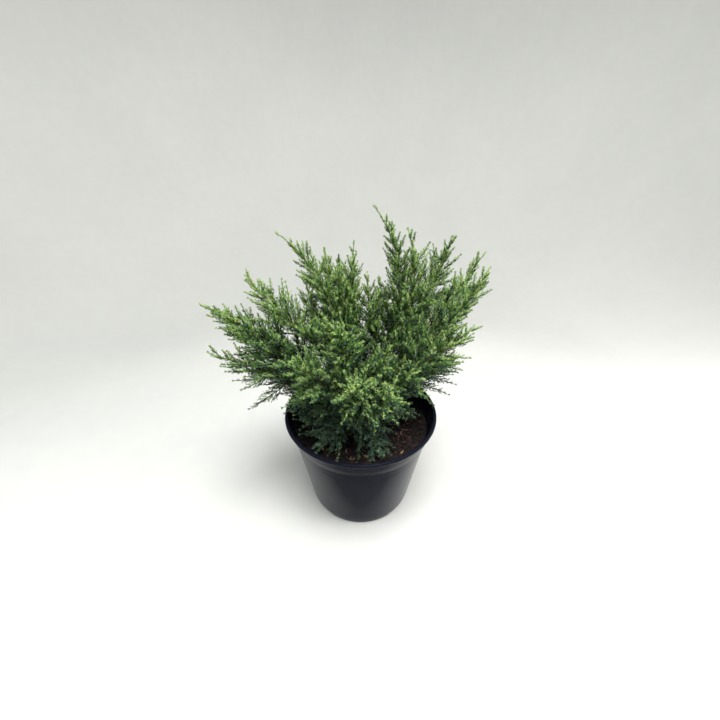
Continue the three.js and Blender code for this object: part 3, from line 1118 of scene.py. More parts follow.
    def _build_litter(self, rng: np.random.Generator, finishes: Sequence[bpy.types.Material]) -> None:
        """Makes the crumbs and the bark chips, each a box with shifted corners.

        Args:
            rng: the seeded numbers.
            finishes: the materials for crumb, bark, rusty bark and pale wood.
        """
        corner = np.array([[x, y, z] for x in (-1, 1) for y in (-1, 1) for z in (-1, 1)], dtype=float)
        ends, sides = [[0, 1, 3, 2], [4, 6, 7, 5]], [[0, 4, 5, 1], [2, 3, 7, 6]]
        faces = np.array([*ends, *sides, [0, 2, 6, 4], [1, 5, 7, 3]])
        count = self.crumbs + self.chips
        chip = np.arange(count) >= self.crumbs
        x, y, z = self._scatter(rng, count, self.litter_margin)
        chip_long = ranged(self.chip_long, rng.random(count) ** 2)
        long = np.where(chip, chip_long, ranged(self.crumb_long, rng.random(count)))
        chip_wide = ranged(self.chip_wide, rng.random(count))
        wide = long * np.where(chip, chip_wide, ranged(self.crumb_wide, rng.random(count)))
        thick = np.where(chip, ranged(self.chip_thick, rng.random(count)), wide * self.crumb_thick)
        shape = corner[None] * ranged(self.corner_spread, rng.random((count, *corner.shape)))
        shape = shape * np.stack([long, wide, thick], axis=1)[:, None]
        spin = rng.random(count) * FULL_TURN
        tilt = np.where(chip, self.chip_tilt[0], self.crumb_tilt) * rng.standard_normal(count)
        roll = np.where(chip, self.chip_tilt[1], self.crumb_tilt) * rng.standard_normal(count)
        self._turn(shape, spin, tilt, roll)
        lift = z + thick * self.litter_lift + long * 0.5 * np.abs(np.sin(tilt))
        points = shape + np.stack([x, y, lift], axis=1)[:, None]
        draw = rng.random(count)
        kinds = np.where(chip, np.digitize(draw, self.chip_kinds), np.digitize(draw, self.crumb_kinds))
        skin = Skin("compost_litter")
        skin.add(points, repeated(faces, count, len(corner)), np.repeat(kinds, len(faces)))
        finish_piece(skin.build(finishes))

    @staticmethod
    def _turn(shape: np.ndarray, spin: np.ndarray, tilt: np.ndarray, roll: np.ndarray) -> None:
        """Turns small shapes where they are.

        Args:
            shape: the points of each shape.
            spin: the angle about the height axis.
            tilt: the angle about the cross axis.
            roll: the angle about the long axis.
        """
        for angle, (a, b) in ((roll, (1, 2)), (tilt, (0, 2)), (spin, (0, 1))):
            cos, sin = np.cos(angle)[:, None], np.sin(angle)[:, None]
            first, second = shape[..., a].copy(), shape[..., b].copy()
            shape[..., a] = first * cos - second * sin
            shape[..., b] = first * sin + second * cos

    def _build_fibres(self, rng: np.random.Generator, finishes: Sequence[bpy.types.Material]) -> None:
        """Makes the thin fibres that lie on the bed.

        Args:
            rng: the seeded numbers.
            finishes: the materials for pale and rusty fibres.
        """
        skin = Skin("compost_fibres")
        x, y, _ = self._scatter(rng, self.fibres, self.fibre_margin)
        along = np.linspace(-1, 1, self.fibre_rings)
        turn = turns(self.fibre_sides)
        for index in range(self.fibres):
            half = ranged(self.fibre_half, rng.random() ** self.fibre_skew)
            way = rng.random() * FULL_TURN
            bend = rng.normal() * self.fibre_bend
            ahead, aside = along * half, bend * half * (along**2 - 0.5)
            px = x[index] + ahead * math.cos(way) - aside * math.sin(way)
            py = y[index] + ahead * math.sin(way) + aside * math.cos(way)
            lift = self.fibre_lift + self.fibre_arch * rng.random() * (1 - along**2)
            middle = np.stack([px, py, self.surface(px, py) + lift], axis=1)
            thick = ranged(self.fibre_thick, rng.random()) * (1 - 0.5 * along**2)
            across = np.array([-math.sin(way), math.cos(way), 0.0])
            out = across * np.cos(turn)[:, None] * self.fibre_flatness + UP * np.sin(turn)[:, None]
            rings = middle[:, None] + out[None] * thick[:, None, None]
            kind = int(rng.random() < self.rusty_share)
            skin.add_tube(rings, middle[[0, -1]], kind, kind)
        finish_piece(skin.build(finishes))


# The plant's rule


@dataclass(frozen=True)
class StemSize:
    """The short stem."""

    height: float = 38.0
    base_radius: float = 7.5
    top_radius: float = 5.4
    flare: float = 3.4
    flare_height: float = 9.0
    lean: float = 3.0
    buried: float = 4.0
    drawn_from: float = 0.1
    sides: int = 30
    steps: int = 46
    relief: float = 0.75
    axis_points: int = 5


@dataclass(frozen=True)
class BoughSize:
    """The bare boughs. Their radii at root and tip are shares of their plume's width."""

    root_share: float = 0.067
    tip_share: float = 0.038
    rise: float = 1.25
    sides: int = 16
    step: float = 1.3
    relief: float = 0.3


@dataclass(frozen=True)
class BarkRelief:
    """Ridges and flakes in the bark: each a noise with scales across and along, and its height."""

    across: Span = (0.55, 1.3)
    upward: Span = (0.12, 0.5)
    flake_shift: float = 9.0
    heights: Span = (1.3, 0.45)

    def at(self, point: np.ndarray) -> float:
        """How far the bark stands out.

        Args:
            point: a point on the limb.

        Returns:
            The height over the smooth limb, for a relief of 1.
        """
        x, y, z = point
        (ridge_across, flake_across), (ridge_up, flake_up) = self.across, self.upward
        ridge = noise.noise(Vector((x * ridge_across, y * ridge_across, z * ridge_up)))
        flake = noise.noise(Vector((x * flake_across, y * flake_across, z * flake_up + self.flake_shift)))
        return -abs(ridge) * self.heights[0] + self.heights[1] * flake


@dataclass(frozen=True)
class TwigSize:
    """The bare parts of the plumes' stems and of the twigs on them."""

    end_radius: float = 0.4
    radius_by_length: float = 0.011
    inner_stem_share: float = 0.03
    taper: float = 0.8
    start: float = 0.97
    end: float = 0.97
    relief: float = 0.12
    least_steps: int = 4
    # Sides, length of a step, and where the green bark begins, for a twig and for a plume's stem.
    on_twig: tuple[int, float, float] = (5, 6.0, 0.12)
    on_stem: tuple[int, float, float] = (8, 3.0, 0.35)


@dataclass(frozen=True)
class PlumeRule:
    """The rule that the plumes' solids are grown by."""

    stem_whorl_every: float = 22.0
    stem_shoot_share: float = 0.5
    stem_bare: float = 0.12
    twig_whorl_every: float = 19.0
    twig_shoot_share: float = 0.36
    twig_bare: float = 0.28
    shoot_angle: float = math.radians(45)
    twig_every: float = 28.0
    twig_angle: float = math.radians(42)
    twig_sag: float = 0.04
    twigs_up_to: float = 0.9
    least_twig: float = 25.0
    turns: int = 5
    good_enough: float = 0.85
    shorter_by: float = 0.88
    tested_at: tuple[float, ...] = (0.4, 0.7, 1.0)
    upturn: float = 0.2
    clear_of_neighbour: float = 0.8
    clear_of_limb: float = 1.4
    clear_of_pot: float = 2.0
    width_share: float = 0.35
    axis_steps: int = 20
    whorl: int = 3
    gap: float = 0.45
    seed_step: int = 977
    place_luck: Span = (0.25, 0.5)
    length_luck: Span = (1.0, 0.3)
    turn_luck: float = 0.8
    widest_at: float = 0.2
    root_reach: Span = (0.75, 1.25)
    least_reach: float = 0.27
    fullness: float = 1.8

    def envelope(self, along: np.ndarray, fullness: float = fullness) -> np.ndarray:
        """How far twigs reach, as a share of the plume's width.

        Args:
            along: from 0 where the plume begins to 1 at its tip.
            fullness: how blunt the plume is.

        Returns:
            One share for each place.
        """
        rest = np.maximum((along - self.widest_at) / (1 - self.widest_at), 0)
        tapered = np.maximum(self.least_reach, 1 - rest**fullness)
        return np.where(along < self.widest_at, ranged(self.root_reach, along), tapered)


@dataclass(frozen=True)
class FineRule:
    """The rule's finer end, which only the dressed plant has.

    A spill is how far growth may stand into a neighbour's space, for a plume of usual width.
    A plume counts as high by its waist's height. Over the pot, hanging shoots are held back.
    A pair for a draw is the first value and how much a draw of 1 changes it.
    """

    # Twigs between those of the solids.
    first_seed: int = 90001
    seed_step: int = 131
    place_luck: Span = (0.2, 0.6)
    first_turn: float = 1.1
    twig_every: float = 3.1
    least_twig: float = 10.0
    twigs_from: float = 0.55
    twigs_up_to: float = 0.94
    twig_spill: float = 12.0
    twig_fullness: float = 2.3
    twig_length: Span = (0.6, 0.85)
    twig_thinning: Span = (1.12, -0.3)
    twig_opening: Span = (0.85, 0.7)
    twig_closing: Span = (1.3, -0.75)
    high_twig_spill: float = 0.4
    usual_width: float = 49.0
    high_waist: Span = (85.0, 120.0)
    # Shoots in whorls on stems and twigs.
    shoot_spill: float = 17.0
    high_shoot_spill: float = 0.25
    hang: float = 0.4
    hanging_under: float = -0.1
    over_pot: Span = (85.0, 120.0)
    trim_steps: int = 6
    trim_by: float = 0.75
    whorls_on_stem: int = 3
    whorls_on_twig: int = 2
    whorl_turn: float = 0.9
    along_luck: float = 0.012
    along_limits: Span = (0.02, 0.985)
    turn_luck: float = 0.45
    thinner_to_tip: float = 0.5
    between_length: Span = (0.6, 0.5)
    tip_shoot: float = 2.5
    tip_cone: float = 0.34
    whorl_angle: float = 0.9
    between_angle: Span = (0.6, 0.4)
    closing: float = 0.35
    least_shoot: float = 2.2
    shoot_sweep: float = 0.28
    shoot_rise: float = 0.05
    shoot_back: float = 0.05
    pull_at: float = 0.55
    leaf: Span = (2.15, 0.09)
    most_leaf: float = 3.15
    shoot_bare: float = 0.1
    # Side shoots on those.
    side_from: float = 6.0
    side_every: float = 3.3
    side_angle: float = math.radians(38)
    side_angle_luck: Span = (0.8, 0.4)
    side_at: Span = (0.14, 0.74)
    side_at_luck: Span = (0.3, 0.4)
    side_turn: float = 0.94
    side_turn_luck: float = 0.35
    side_rise: float = 0.06
    side_length: Span = (0.52, -0.3)
    side_limits: Span = (2.6, 8.0)
    side_length_luck: Span = (0.75, 0.4)
    least_side: float = 1.6
    side_sweep: float = 0.3
    side_leaf: float = 2.3
    side_bare: float = 0.04
    # Where leaves begin and how long they are, at the ends of twigs and of the plumes' stems.
    twig_end: Span = (0.22, 2.6)
    stem_end: Span = (0.5, 3.5)


@dataclass(frozen=True)
class YouthAndShadeRule:
    """How young growth is, near 0 for old growth in painted shade and near 1 for young growth in painted
    light. Heights are over the compost.
    """

    base: float = -0.12
    by_place: float = 0.62
    by_glow: float = 0.42
    # Painted shade: shoots that point down are darker and those that point up lighter.
    lit_by_upward: float = 0.2
    by_length: float = 0.004
    luck: float = 0.17
    # Painted shade on growth low over the compost, and growth high up a little darker.
    low: Span = (25.0, 105.0)
    low_painted_shade: float = 0.34
    top: Span = (185.0, 260.0)
    top_drop: float = 0.15
    # The place of a shoot on a twig, from the twig's place on its plume and its own on the twig.
    on_twig: Span = (0.55, 0.45)
    # The place that counts for the end of a twig, from the twig's place, and for a stem's end.
    twig_end: Span = (0.3, 0.55)
    stem_end: float = 0.85
    side_by_place: float = 0.06
    side_luck: float = 0.04


@dataclass
class Plume:
    """One plume: the limb it leaves, how far along, its bare share, its width, waist and tip."""

    name: str
    parent: str
    at: float
    share: float
    width: float
    waist: tuple[float, float, float]
    tip: tuple[float, float, float]
    glow: float
    arc: Arcs = field(init=False, repr=False)
    length: float = field(init=False, default=0.0)

    def bough_steps(self, rule: PlumeRule) -> int:
        """How many of the axis's pieces are bare bough."""
        return math.ceil(rule.axis_steps * self.share)

    def bough_radius(self, size: BoughSize, along: np.ndarray | float) -> np.ndarray | float:
        """The bough's radius.

        Args:
            size: the boughs' sizes.
            along: the share of the bough, from 0 to 1.

        Returns:
            One radius for each share.
        """
        grown = size.rise if self.parent == "stem" else 1.0
        root = size.root_share * grown
        return self.width * (root + (size.tip_share - root) * along)


# Waists and tips are degrees round the pot's axis, reach and height over the compost. Each row
# ends with its glow, from 0 to 1: how young its growth is, with painted light on high plumes and painted
# shade on low and inner ones.
PLUMES = [
    Plume("right_leader", "stem", 0.96, 0.22, 38, (37, 66, 180), (64, 33, 289), 0.8),
    Plume("left_leader", "stem", 0.9, 0.22, 34, (148, 48, 180), (168, 101, 261), 0.85),
    Plume("front_leader", "stem", 0.82, 0.22, 48, (-104, 58, 130), (-107, 104, 198), 0.42),
    Plume("right_outer", "stem", 0.66, 0.26, 41, (-8, 97, 147), (-8, 142, 229), 0.66),
    Plume("left_far", "stem", 0.7, 0.26, 54, (-175, 106, 127), (-174, 183, 184), 0.5),
    Plume("back_right", "stem", 0.74, 0.26, 48, (70, 76, 112), (74, 110, 190), 0.45),
    Plume("back_left", "stem", 0.62, 0.26, 51, (112, 63, 143), (112, 84, 223), 0.45),
    Plume("right_spire", "right_leader", 0.15, 0.18, 44, (25, 75, 178), (35, 70, 265), 0.8),
    Plume("right_fan", "right_leader", 0.1, 0.18, 52, (29, 98, 165), (22, 124, 255), 0.74),
    Plume("right_inner", "right_leader", 0.19, 0.18, 48, (66, 40, 136), (79, 43, 213), 0.6),
    Plume("right_far", "right_outer", 0.2, 0.2, 48, (6, 97, 155), (5, 147, 241), 0.64),
    Plume("right_low", "right_outer", 0.14, 0.2, 48, (-19, 85, 113), (-16, 135, 168), 0.56),
    Plume("right_skirt", "stem", 0.4, 0.22, 42, (6, 84, 78), (2, 134, 96), 0.3),
    Plume("right_front", "stem", 0.5, 0.22, 41, (-45, 50, 78), (-38, 88, 118), 0.42),
    Plume("right_heart", "stem", 0.86, 0, 50, (4, 59, 94), (0, 129, 136), 0.2),
    Plume("right_sprig", "stem", 0.42, 0, 27, (-22, 50, 36), (-12, 88, 20), 0.15),
    Plume("left_spire", "left_leader", 0.15, 0.18, 36, (108, 40, 168), (100, 51, 249), 0.85),
    Plume("left_crest", "left_leader", 0.19, 0.18, 46, (135, 50, 173), (139, 61, 241), 0.9),
    Plume("left_upper", "left_leader", 0.1, 0.18, 50, (177, 83, 147), (179, 138, 217), 0.74),
    Plume("left_lower", "left_far", 0.15, 0.2, 52, (-166, 99, 90), (-169, 190, 134), 0.35),
    Plume("left_skirt", "stem", 0.34, 0.22, 44, (172, 96, 56), (175, 165, 76), 0.3),
    Plume("left_heart", "stem", 0.88, 0, 56, (-164, 94, 115), (-165, 161, 166), 0.2),
    Plume("left_sprig", "stem", 0.3, 0, 44, (-156, 58, 46), (-160, 102, 54), 0.15),
    Plume("front_left", "front_leader", 0.12, 0.18, 52, (-128, 66, 100), (-126, 114, 158), 0.5),
    Plume("front_centre", "stem", 0.54, 0.2, 43, (-95, 64, 92), (-94, 112, 135), 0.6),
    Plume("front_right", "stem", 0.44, 0.2, 37, (-71, 61, 75), (-70, 98, 114), 0.62),
    Plume("front_heart", "stem", 0.84, 0, 50, (-71, 40, 86), (-64, 73, 157), 0.45),
    Plume("front_low", "stem", 0.24, 0, 44, (-76, 52, 26), (-76, 94, 18), 0.05),
    Plume("front_low_left", "stem", 0.26, 0, 52, (-122, 52, 27), (-126, 93, 22), 0.0),
    Plume("back_low", "stem", 0.5, 0.2, 51, (96, 74, 62), (96, 136, 100), 0.4),
    Plume("back_right_low", "back_right", 0.14, 0.2, 51, (35, 90, 88), (32, 148, 128), 0.4),
    Plume("back_left_low", "back_left", 0.14, 0.2, 50, (140, 77, 117), (137, 108, 202), 0.4),
]

REGIONS = {
    "left_top": ("left_leader", "left_spire", "left_crest", "left_upper"),
    "left_side": ("left_far", "left_lower", "left_skirt", "left_heart", "left_sprig"),
    "right_top": ("right_leader", "right_spire", "right_fan", "right_inner"),
    "right_side": ("right_outer", "right_far", "right_low", "right_skirt"),
    "right_front": ("right_front", "right_heart", "right_sprig", "front_right"),
    "front_top": ("front_leader", "front_left", "front_heart"),
    "front_low": ("front_centre", "front_low", "front_low_left"),
    "back_left": ("back_left", "back_left_low"),
    "back_right": ("back_right", "back_right_low", "back_low"),
}


class Skeleton:
    """The plumes' axes, and the space that each of them keeps to."""

    def __init__(self, pot: NurseryPot, compost: Compost) -> None:
        """Works out every axis.

        Args:
            pot: the pot that the plant stands in.
            compost: the compost that it grows in.
        """
        self.pot, self.compost = pot, compost
        self.stem, self.bough, self.rule = StemSize(), BoughSize(), PlumeRule()
        lean = self.stem.lean
        self.stem_arc = one_arc(
            np.array([0.0, 0.0, -self.stem.buried]),
            np.array([-lean, lean, self.stem.height * 0.5]),
            np.array([0.0, lean, self.stem.height]),
        )
        arcs = {"stem": self.stem_arc}
        for plume in PLUMES:
            root = samples(arcs[plume.parent], [plume.at])[0]
            tip = place(*plume.tip)
            plume.arc = one_arc(root, 2 * place(*plume.waist) - 0.5 * root - 0.5 * tip, tip)
            plume.length = plume.arc.length()
            arcs[plume.name] = plume.arc
        steps = np.linspace(0, 1, self.rule.axis_steps + 1)
        self.axes = np.stack([samples(plume.arc, steps) for plume in PLUMES])
        self.stem_axis = samples(self.stem_arc, np.linspace(0, 1, self.stem.axis_points))
        self.widths = np.array([plume.width for plume in PLUMES])
        waists = np.array([plume.waist[2] for plume in PLUMES])
        self.high = smoothstep(waists, *FineRule.high_waist)

    @staticmethod
    def _to_pieces(points: np.ndarray, starts: np.ndarray, ends: np.ndarray) -> np.ndarray:
        """Distances from points to straight pieces.

        Args:
            points: the points.
            starts: where the pieces start.
            ends: where they end.

        Returns:
            One row for each point, with one distance for each piece.
        """
        run = ends - starts
        offset = points[:, None] - starts[None]
        share = np.clip(np.einsum("npk,pk->np", offset, run) / np.einsum("pk,pk->p", run, run), 0, 1)
        return np.linalg.norm(offset - share[..., None] * run[None], axis=2)

    def room(self, points: np.ndarray, owner: np.ndarray) -> tuple[np.ndarray, np.ndarray]:
        """How far points lie inside their plume's own space.

        Args:
            points: the points, in the plant's frame.
            owner: the index of each point's plume.

        Returns:
            The room towards the neighbours, and the room towards pot, compost and limbs.
        """
        if not len(points):
            return np.zeros(0), np.zeros(0)
        rows = [slice(i, i + ROOM_ROWS) for i in range(0, len(points), ROOM_ROWS)]
        near, hard = zip(*(self._room(points[some], owner[some]) for some in rows))
        return np.concatenate(near), np.concatenate(hard)

    def _room(self, points: np.ndarray, owner: np.ndarray) -> tuple[np.ndarray, np.ndarray]:
        """The same as room, for a few thousand points.

        Args:
            points: the points.
            owner: the index of each point's plume.

        Returns:
            The same as room.
        """
        rule, count = self.rule, len(points)
        starts = self.axes[:, :-1].reshape(-1, 3)
        ends = self.axes[:, 1:].reshape(-1, 3)
        pieces = self._to_pieces(points, starts, ends).reshape(count, len(PLUMES), rule.axis_steps)
        wide = pieces.min(axis=2) - self.widths * rule.width_share
        own = wide[np.arange(count), owner].copy()
        wide[np.arange(count), owner] = np.inf
        near = (wide.min(axis=1) - own) / 2 - rule.clear_of_neighbour
        height = points[:, 2] + self.compost.top
        hard = points[:, 2] - rule.clear_of_pot
        to_wall = self.pot.inner_radius(height) - rule.clear_of_pot - np.hypot(points[:, 0], points[:, 1])
        hard = np.where(height < self.pot.height + rule.clear_of_pot, np.minimum(hard, to_wall), hard)
        to_stem = self._to_pieces(points, self.stem_axis[:-1], self.stem_axis[1:]).min(axis=1)
        hard = np.minimum(hard, to_stem - self.stem.base_radius - rule.clear_of_limb)
        for index, plume in enumerate(PLUMES):
            if plume.share:
                to_bough = pieces[:, index, : plume.bough_steps(rule)].min(axis=1)
                thick = plume.bough_radius(self.bough, 0.0)
                hard = np.minimum(hard, to_bough - thick - rule.clear_of_limb)
        return near, hard


@dataclass
class Stalks:
    """The plumes' own stems and their twigs, as rows of one table."""

    arcs: Arcs
    owner: np.ndarray
    start: np.ndarray
    bare: np.ndarray
    whorls: np.ndarray
    length: np.ndarray
    turn: np.ndarray
    is_twig: np.ndarray
    on_plume: np.ndarray


@dataclass
class TwigTry:
    """A twig that is looked for: its plume, place, length, first turn, angle, spill and least length."""

    index: int
    share: float
    wanted: float
    first_turn: float
    angle: float
    spill: float
    least: float


class Grower:
    """Grows the plumes' stems and twigs by the seeded rule."""

    def __init__(self, skeleton: Skeleton) -> None:
        """Keeps the skeleton that the twigs grow on."""
        self.skeleton, self.rule, self.fine = skeleton, skeleton.rule, FineRule()

    def _longest(self, wish: TwigTry, root: np.ndarray, way: np.ndarray) -> float:
        """The longest twig that keeps to its plume's space.

        Args:
            wish: the twig that is looked for.
            root: where it leaves.
            way: its direction.

        Returns:
            Its length, or 0 if none fits.
        """
        sizes = []
        length = wish.wanted
        while length > wish.least:
            sizes.append(length)
            length *= self.rule.shorter_by
        if not sizes:
            return 0.0
        tests = np.array(self.rule.tested_at)
        points = root + way * (np.array(sizes)[:, None] * tests).reshape(-1, 1)
        near, hard = self.skeleton.room(points, np.full(len(points), wish.index))
        clear = self.rule.clear_of_neighbour
        fits = ((near + wish.spill > clear) & (hard > clear)).reshape(-1, len(tests)).all(axis=1)
        return sizes[int(np.argmax(fits))] if fits.any() else 0.0

    def _try_twig(self, wish: TwigTry) -> tuple[float, np.ndarray, np.ndarray]:
        """Tries a twig at several turns round its plume's stem.

        Args:
            wish: the twig that is looked for.

        Returns:
            The best length, its root and its direction.
        """
        rule, arc = self.rule, PLUMES[wish.index].arc
        zero, at = np.zeros(1, dtype=int), np.array([wish.share])
        root, tangent = arc.point(zero, at)[0], arc.tangent(zero, at)[0]
        best, best_way = 0.0, tangent
        for k in range(rule.turns):
            if best >= wish.wanted * rule.good_enough:
                break
            out = arc.out(zero, at, np.array([wish.first_turn + k * FULL_TURN / rule.turns]))[0]
            way = unit(tangent * math.cos(wish.angle) + out * math.sin(wish.angle))
            way = unit(way + UP * rule.upturn)
            length = self._longest(wish, root, way)
            if length > best:
                best, best_way = length, way
        return best, root, best_way

    def stalks(self) -> Stalks:
        """Grows every plume's stem and twigs.

        Returns:
            The stalks of the whole plant.
        """
        rows: list[tuple] = []
        rule = self.rule
        for index, plume in enumerate(PLUMES):
            random = Seeded(1 + index * rule.seed_step)
            start = plume.share + rule.gap / plume.length if plume.share else 0.0
            length = plume.length * (1 - start)
            whorls = round(length / rule.stem_whorl_every)
            bare = 0.0 if plume.share else rule.stem_bare
            turn = random() * FULL_TURN
            axis = (plume.arc.root[0], plume.arc.pull[0], plume.arc.tip[0])
            rows.append((*axis, index, start, bare, whorls, length, turn, 0, 0.0))
            rows += self._twigs(index, random, start, length)
            rows += self._extra_twigs(index, start, length)
        columns = [np.array(column) for column in zip(*rows)]
        return Stalks(Arcs(*columns[:3]), *columns[3:])

    def _grow_twig(self, wish: TwigTry, random: Seeded, on: float) -> list[tuple]:
        """Grows one twig, if any fits.

        Args:
            wish: the twig that is looked for.
            random: its plume's seeded numbers.
            on: where along the plume it stands, from 0 to 1.

        Returns:
            Its row of the stalks' table, or none.
        """
        rule = self.rule
        length, root, way = self._try_twig(wish)
        if not length:
            return []
        pull = root + way * length / 2 - UP * length * rule.twig_sag
        whorls = max(2, round(length * (1 - rule.twig_bare) / rule.twig_whorl_every))
        axis, turn = (root, pull, root + way * length), random() * FULL_TURN
        return [(*axis, wish.index, 0.0, rule.twig_bare, whorls, length, turn, 1, on)]

    def _twigs(self, index: int, random: Seeded, start: float, length: float) -> list[tuple]:
        """The twigs that the plume's solid has too.

        Args:
            index: the plume.
            The tones of the leaves, from old growth in painted shade to young growth in painted light. The
            last four are apart: the two sunny ones are painted sunlit copies of middle and grass.
            start: the share of the axis where the plume begins.
            length: the length of its stem.

        Returns:
            Rows of the stalks' table.
        """
        rows = []
        rule, plume = self.rule, PLUMES[index]
        count = round(length / rule.twig_every)
        early, luck = rule.place_luck
        for i in range(count):
            along = (i + early + luck * random()) / count
            reach = float(rule.envelope(np.array(along)))
            wanted = plume.width * reach * ranged(rule.length_luck, random())
            first_turn = i * GOLDEN_ANGLE + random() * rule.turn_luck
            share = start + (rule.twigs_up_to - start) * along
            wish = TwigTry(index, share, wanted, first_turn, rule.twig_angle, 0.0, rule.least_twig)
            rows += self._grow_twig(wish, random, along)
        return rows

    def _extra_twigs(self, index: int, start: float, length: float) -> list[tuple]:
        """Thinner twigs between those.

        Args:
            index: the plume.
            start: the share of the axis where the plume begins.
            length: the length of its stem.

        Returns:
            Rows of the stalks' table.
        """
        rows = []
        rule, fine, plume = self.rule, self.fine, PLUMES[index]
        random = Seeded(fine.first_seed + index * fine.seed_step)
        low = start * fine.twigs_from
        high = float(self.skeleton.high[index])
        spill = fine.twig_spill * plume.width / fine.usual_width
        count = round(length / fine.twig_every)
        early, luck = fine.place_luck
        for i in range(count):
            along = (i + early + luck * random()) / count
            reach = float(rule.envelope(np.array(along), fine.twig_fullness))
            wanted = plume.width * reach * ranged(fine.twig_length, random())
            wanted *= ranged(fine.twig_thinning, along)
            first_turn = i * GOLDEN_ANGLE + fine.first_turn + random() * rule.turn_luck
            angle = rule.twig_angle * ranged(fine.twig_opening, random())
            angle *= ranged(fine.twig_closing, along)
            share = low + (fine.twigs_up_to - low) * along
            room = spill * (1 + fine.high_twig_spill * high * (1 - along))
            wish = TwigTry(index, share, wanted, first_turn, angle, room, fine.least_twig)
            rows += self._grow_twig(wish, random, along)
        return rows


@dataclass
class Shoots:
    """Short leafy shoots, as rows of one table."""

    arcs: Arcs
    owner: np.ndarray
    length: np.ndarray
    youth_and_light: np.ndarray
    leaf: np.ndarray
    leafy_from: np.ndarray
    phase: np.ndarray


class Sprays:
    """Grows leafy shoots on the stalks, and side shoots on those."""

    def __init__(self, skeleton: Skeleton, stalks: Stalks, seed: int = 2024) -> None:
        """Keeps what the shoots grow on.

        Args:
            skeleton: the plumes' axes and spaces.
            stalks: the stems and twigs.
            seed: the seed of the finer shoots.
        """
        self.skeleton, self.stalks, self.rule = skeleton, stalks, skeleton.rule
        self.fine, self.age = FineRule(), YouthAndShadeRule()
        self.rng = np.random.default_rng(seed)
        self.glow = np.array([plume.glow for plume in PLUMES])
        most = self.fine.shoot_spill * (1 + self.fine.high_shoot_spill * skeleton.high)
        self.spill = most * skeleton.widths / self.fine.usual_width

    def _trim(
        self, root: np.ndarray, way: np.ndarray, reach: np.ndarray, owner: np.ndarray, least: float
    ) -> np.ndarray:
        """Shortens shoots until they keep to their plume's space.

        Args:
            root: where each shoot leaves.
            way: its direction.
            reach: its wanted length.
            owner: its plume.
            least: the shortest shoot worth growing.

        Returns:
            The lengths, with 0 for a shoot that doesn't fit.
        """
        fine = self.fine
        length = reach.copy()
        left = np.arange(len(reach))
        for _ in range(fine.trim_steps):
            end = root[left] + way[left] * length[left, None]
            near, hard = self.skeleton.room(end, owner[left])
            over_pot = 1 - smoothstep(np.hypot(end[:, 0], end[:, 1]), *fine.over_pot)
            held = np.where(way[left, 2] < fine.hanging_under, 1 - (1 - fine.hang) * over_pot, 1.0)
            left = left[(near + self.spill[owner[left]] * held < 0) | (hard < 0)]
            length[left] *= fine.trim_by
        length[left] = 0.0
        length[length < least] = 0.0
        return length

    def _whorls(self) -> np.ndarray:
        """The places of the shoots on their stalks, with finer whorls between those of the solids.

        Returns:
            Rows of stalk, share along it, turn round it, and whether the solid has that whorl.
        """
        stalks, whorl = self.stalks, self.rule.whorl
        part = np.arange(whorl)[None, :]
        rows = []
        for index in range(len(stalks.owner)):
            count = int(stalks.whorls[index])
            finer = self.fine.whorls_on_twig if stalks.is_twig[index] else self.fine.whorls_on_stem
            step = (np.arange(-1, count * finer + 1) / finer)[:, None]
            turn = stalks.turn[index] + step * math.pi / whorl
            turn = turn + (step % 1 != 0) * self.fine.whorl_turn + (2 * part + 1) * math.pi / whorl
            along = stalks.bare[index] + (1 - stalks.bare[index]) * (step + 0.5) / (count + 0.5)
            columns = np.broadcast_arrays(index, along, turn, step % 1 == 0)
            rows.append(np.stack([column.ravel() for column in columns], axis=1))
        return np.concatenate(rows)

    def on_stalks(self) -> Shoots:
        """The shoots that stand on stems and twigs, in whorls and turned as on the solids.

        Returns:
            The shoots.
        """
        stalks, rule, fine, rng = self.stalks, self.rule, self.fine, self.rng
        table = self._whorls()
        which, main = table[:, 0].astype(int), table[:, 3] > 0.5
        along = table[:, 1] + np.where(main, 0, rng.normal(0, fine.along_luck, len(which)))
        along = np.clip(along, *fine.along_limits)
        turn = table[:, 2] + np.where(main, 0, rng.normal(0, fine.turn_luck, len(which)))
        twig = stalks.is_twig[which] == 1
        width = self.skeleton.widths[stalks.owner[which]]
        on_twig = stalks.length[which] * rule.twig_shoot_share * (1 - fine.thinner_to_tip * along)
        on_stem = width * rule.stem_shoot_share * rule.envelope(along)
        between = ranged(fine.between_length, rng.random(len(which)))
        reach = np.where(twig, on_twig, on_stem) * np.where(main, 1.0, between)
        reach = np.minimum(reach, fine.tip_shoot + fine.tip_cone * (1 - along) * stalks.length[which])
        start = stalks.start[which]
        share = start + (1 - start) * along
        tangent, out = stalks.arcs.tangent(which, share), stalks.arcs.out(which, share, turn)
        root = stalks.arcs.point(which, share)
        between = ranged(fine.between_angle, rng.random(len(which)))
        angle = rule.shoot_angle * np.where(main, fine.whorl_angle, between)[:, None]
        angle = angle * (1 - fine.closing * along[:, None] ** 2)
        way = unit(unit(tangent * np.cos(angle) + out * np.sin(angle)) + UP * rule.upturn)
        owner = stalks.owner[which]
        reach = self._trim(root, way, reach, owner, fine.least_shoot)
        kept = reach > 0
        columns = (which, root, way, reach, tangent, owner, along, twig, out)
        which, root, way, reach, tangent, owner, along, twig, out = (column[kept] for column in columns)
        long = reach[:, None]
        tip = root + unit(way + tangent * fine.shoot_sweep + UP * fine.shoot_rise) * long
        pull = root + unit(way - tangent * fine.shoot_back) * long * fine.pull_at
        twig_share, own_share = self.age.on_twig
        on_plume = np.where(twig, stalks.on_plume[which] * twig_share + along * own_share, along)
        youth_and_light = self._youth_and_light(on_plume, owner, out[:, 2], reach, root[:, 2])
        size = np.clip(ranged(fine.leaf, reach), fine.leaf[0], fine.most_leaf)
        bare, phase = np.full(len(reach), fine.shoot_bare), rng.random(len(reach)) * FULL_TURN
        return Shoots(Arcs(root, pull, tip), owner, reach, youth_and_light, size, bare, phase)

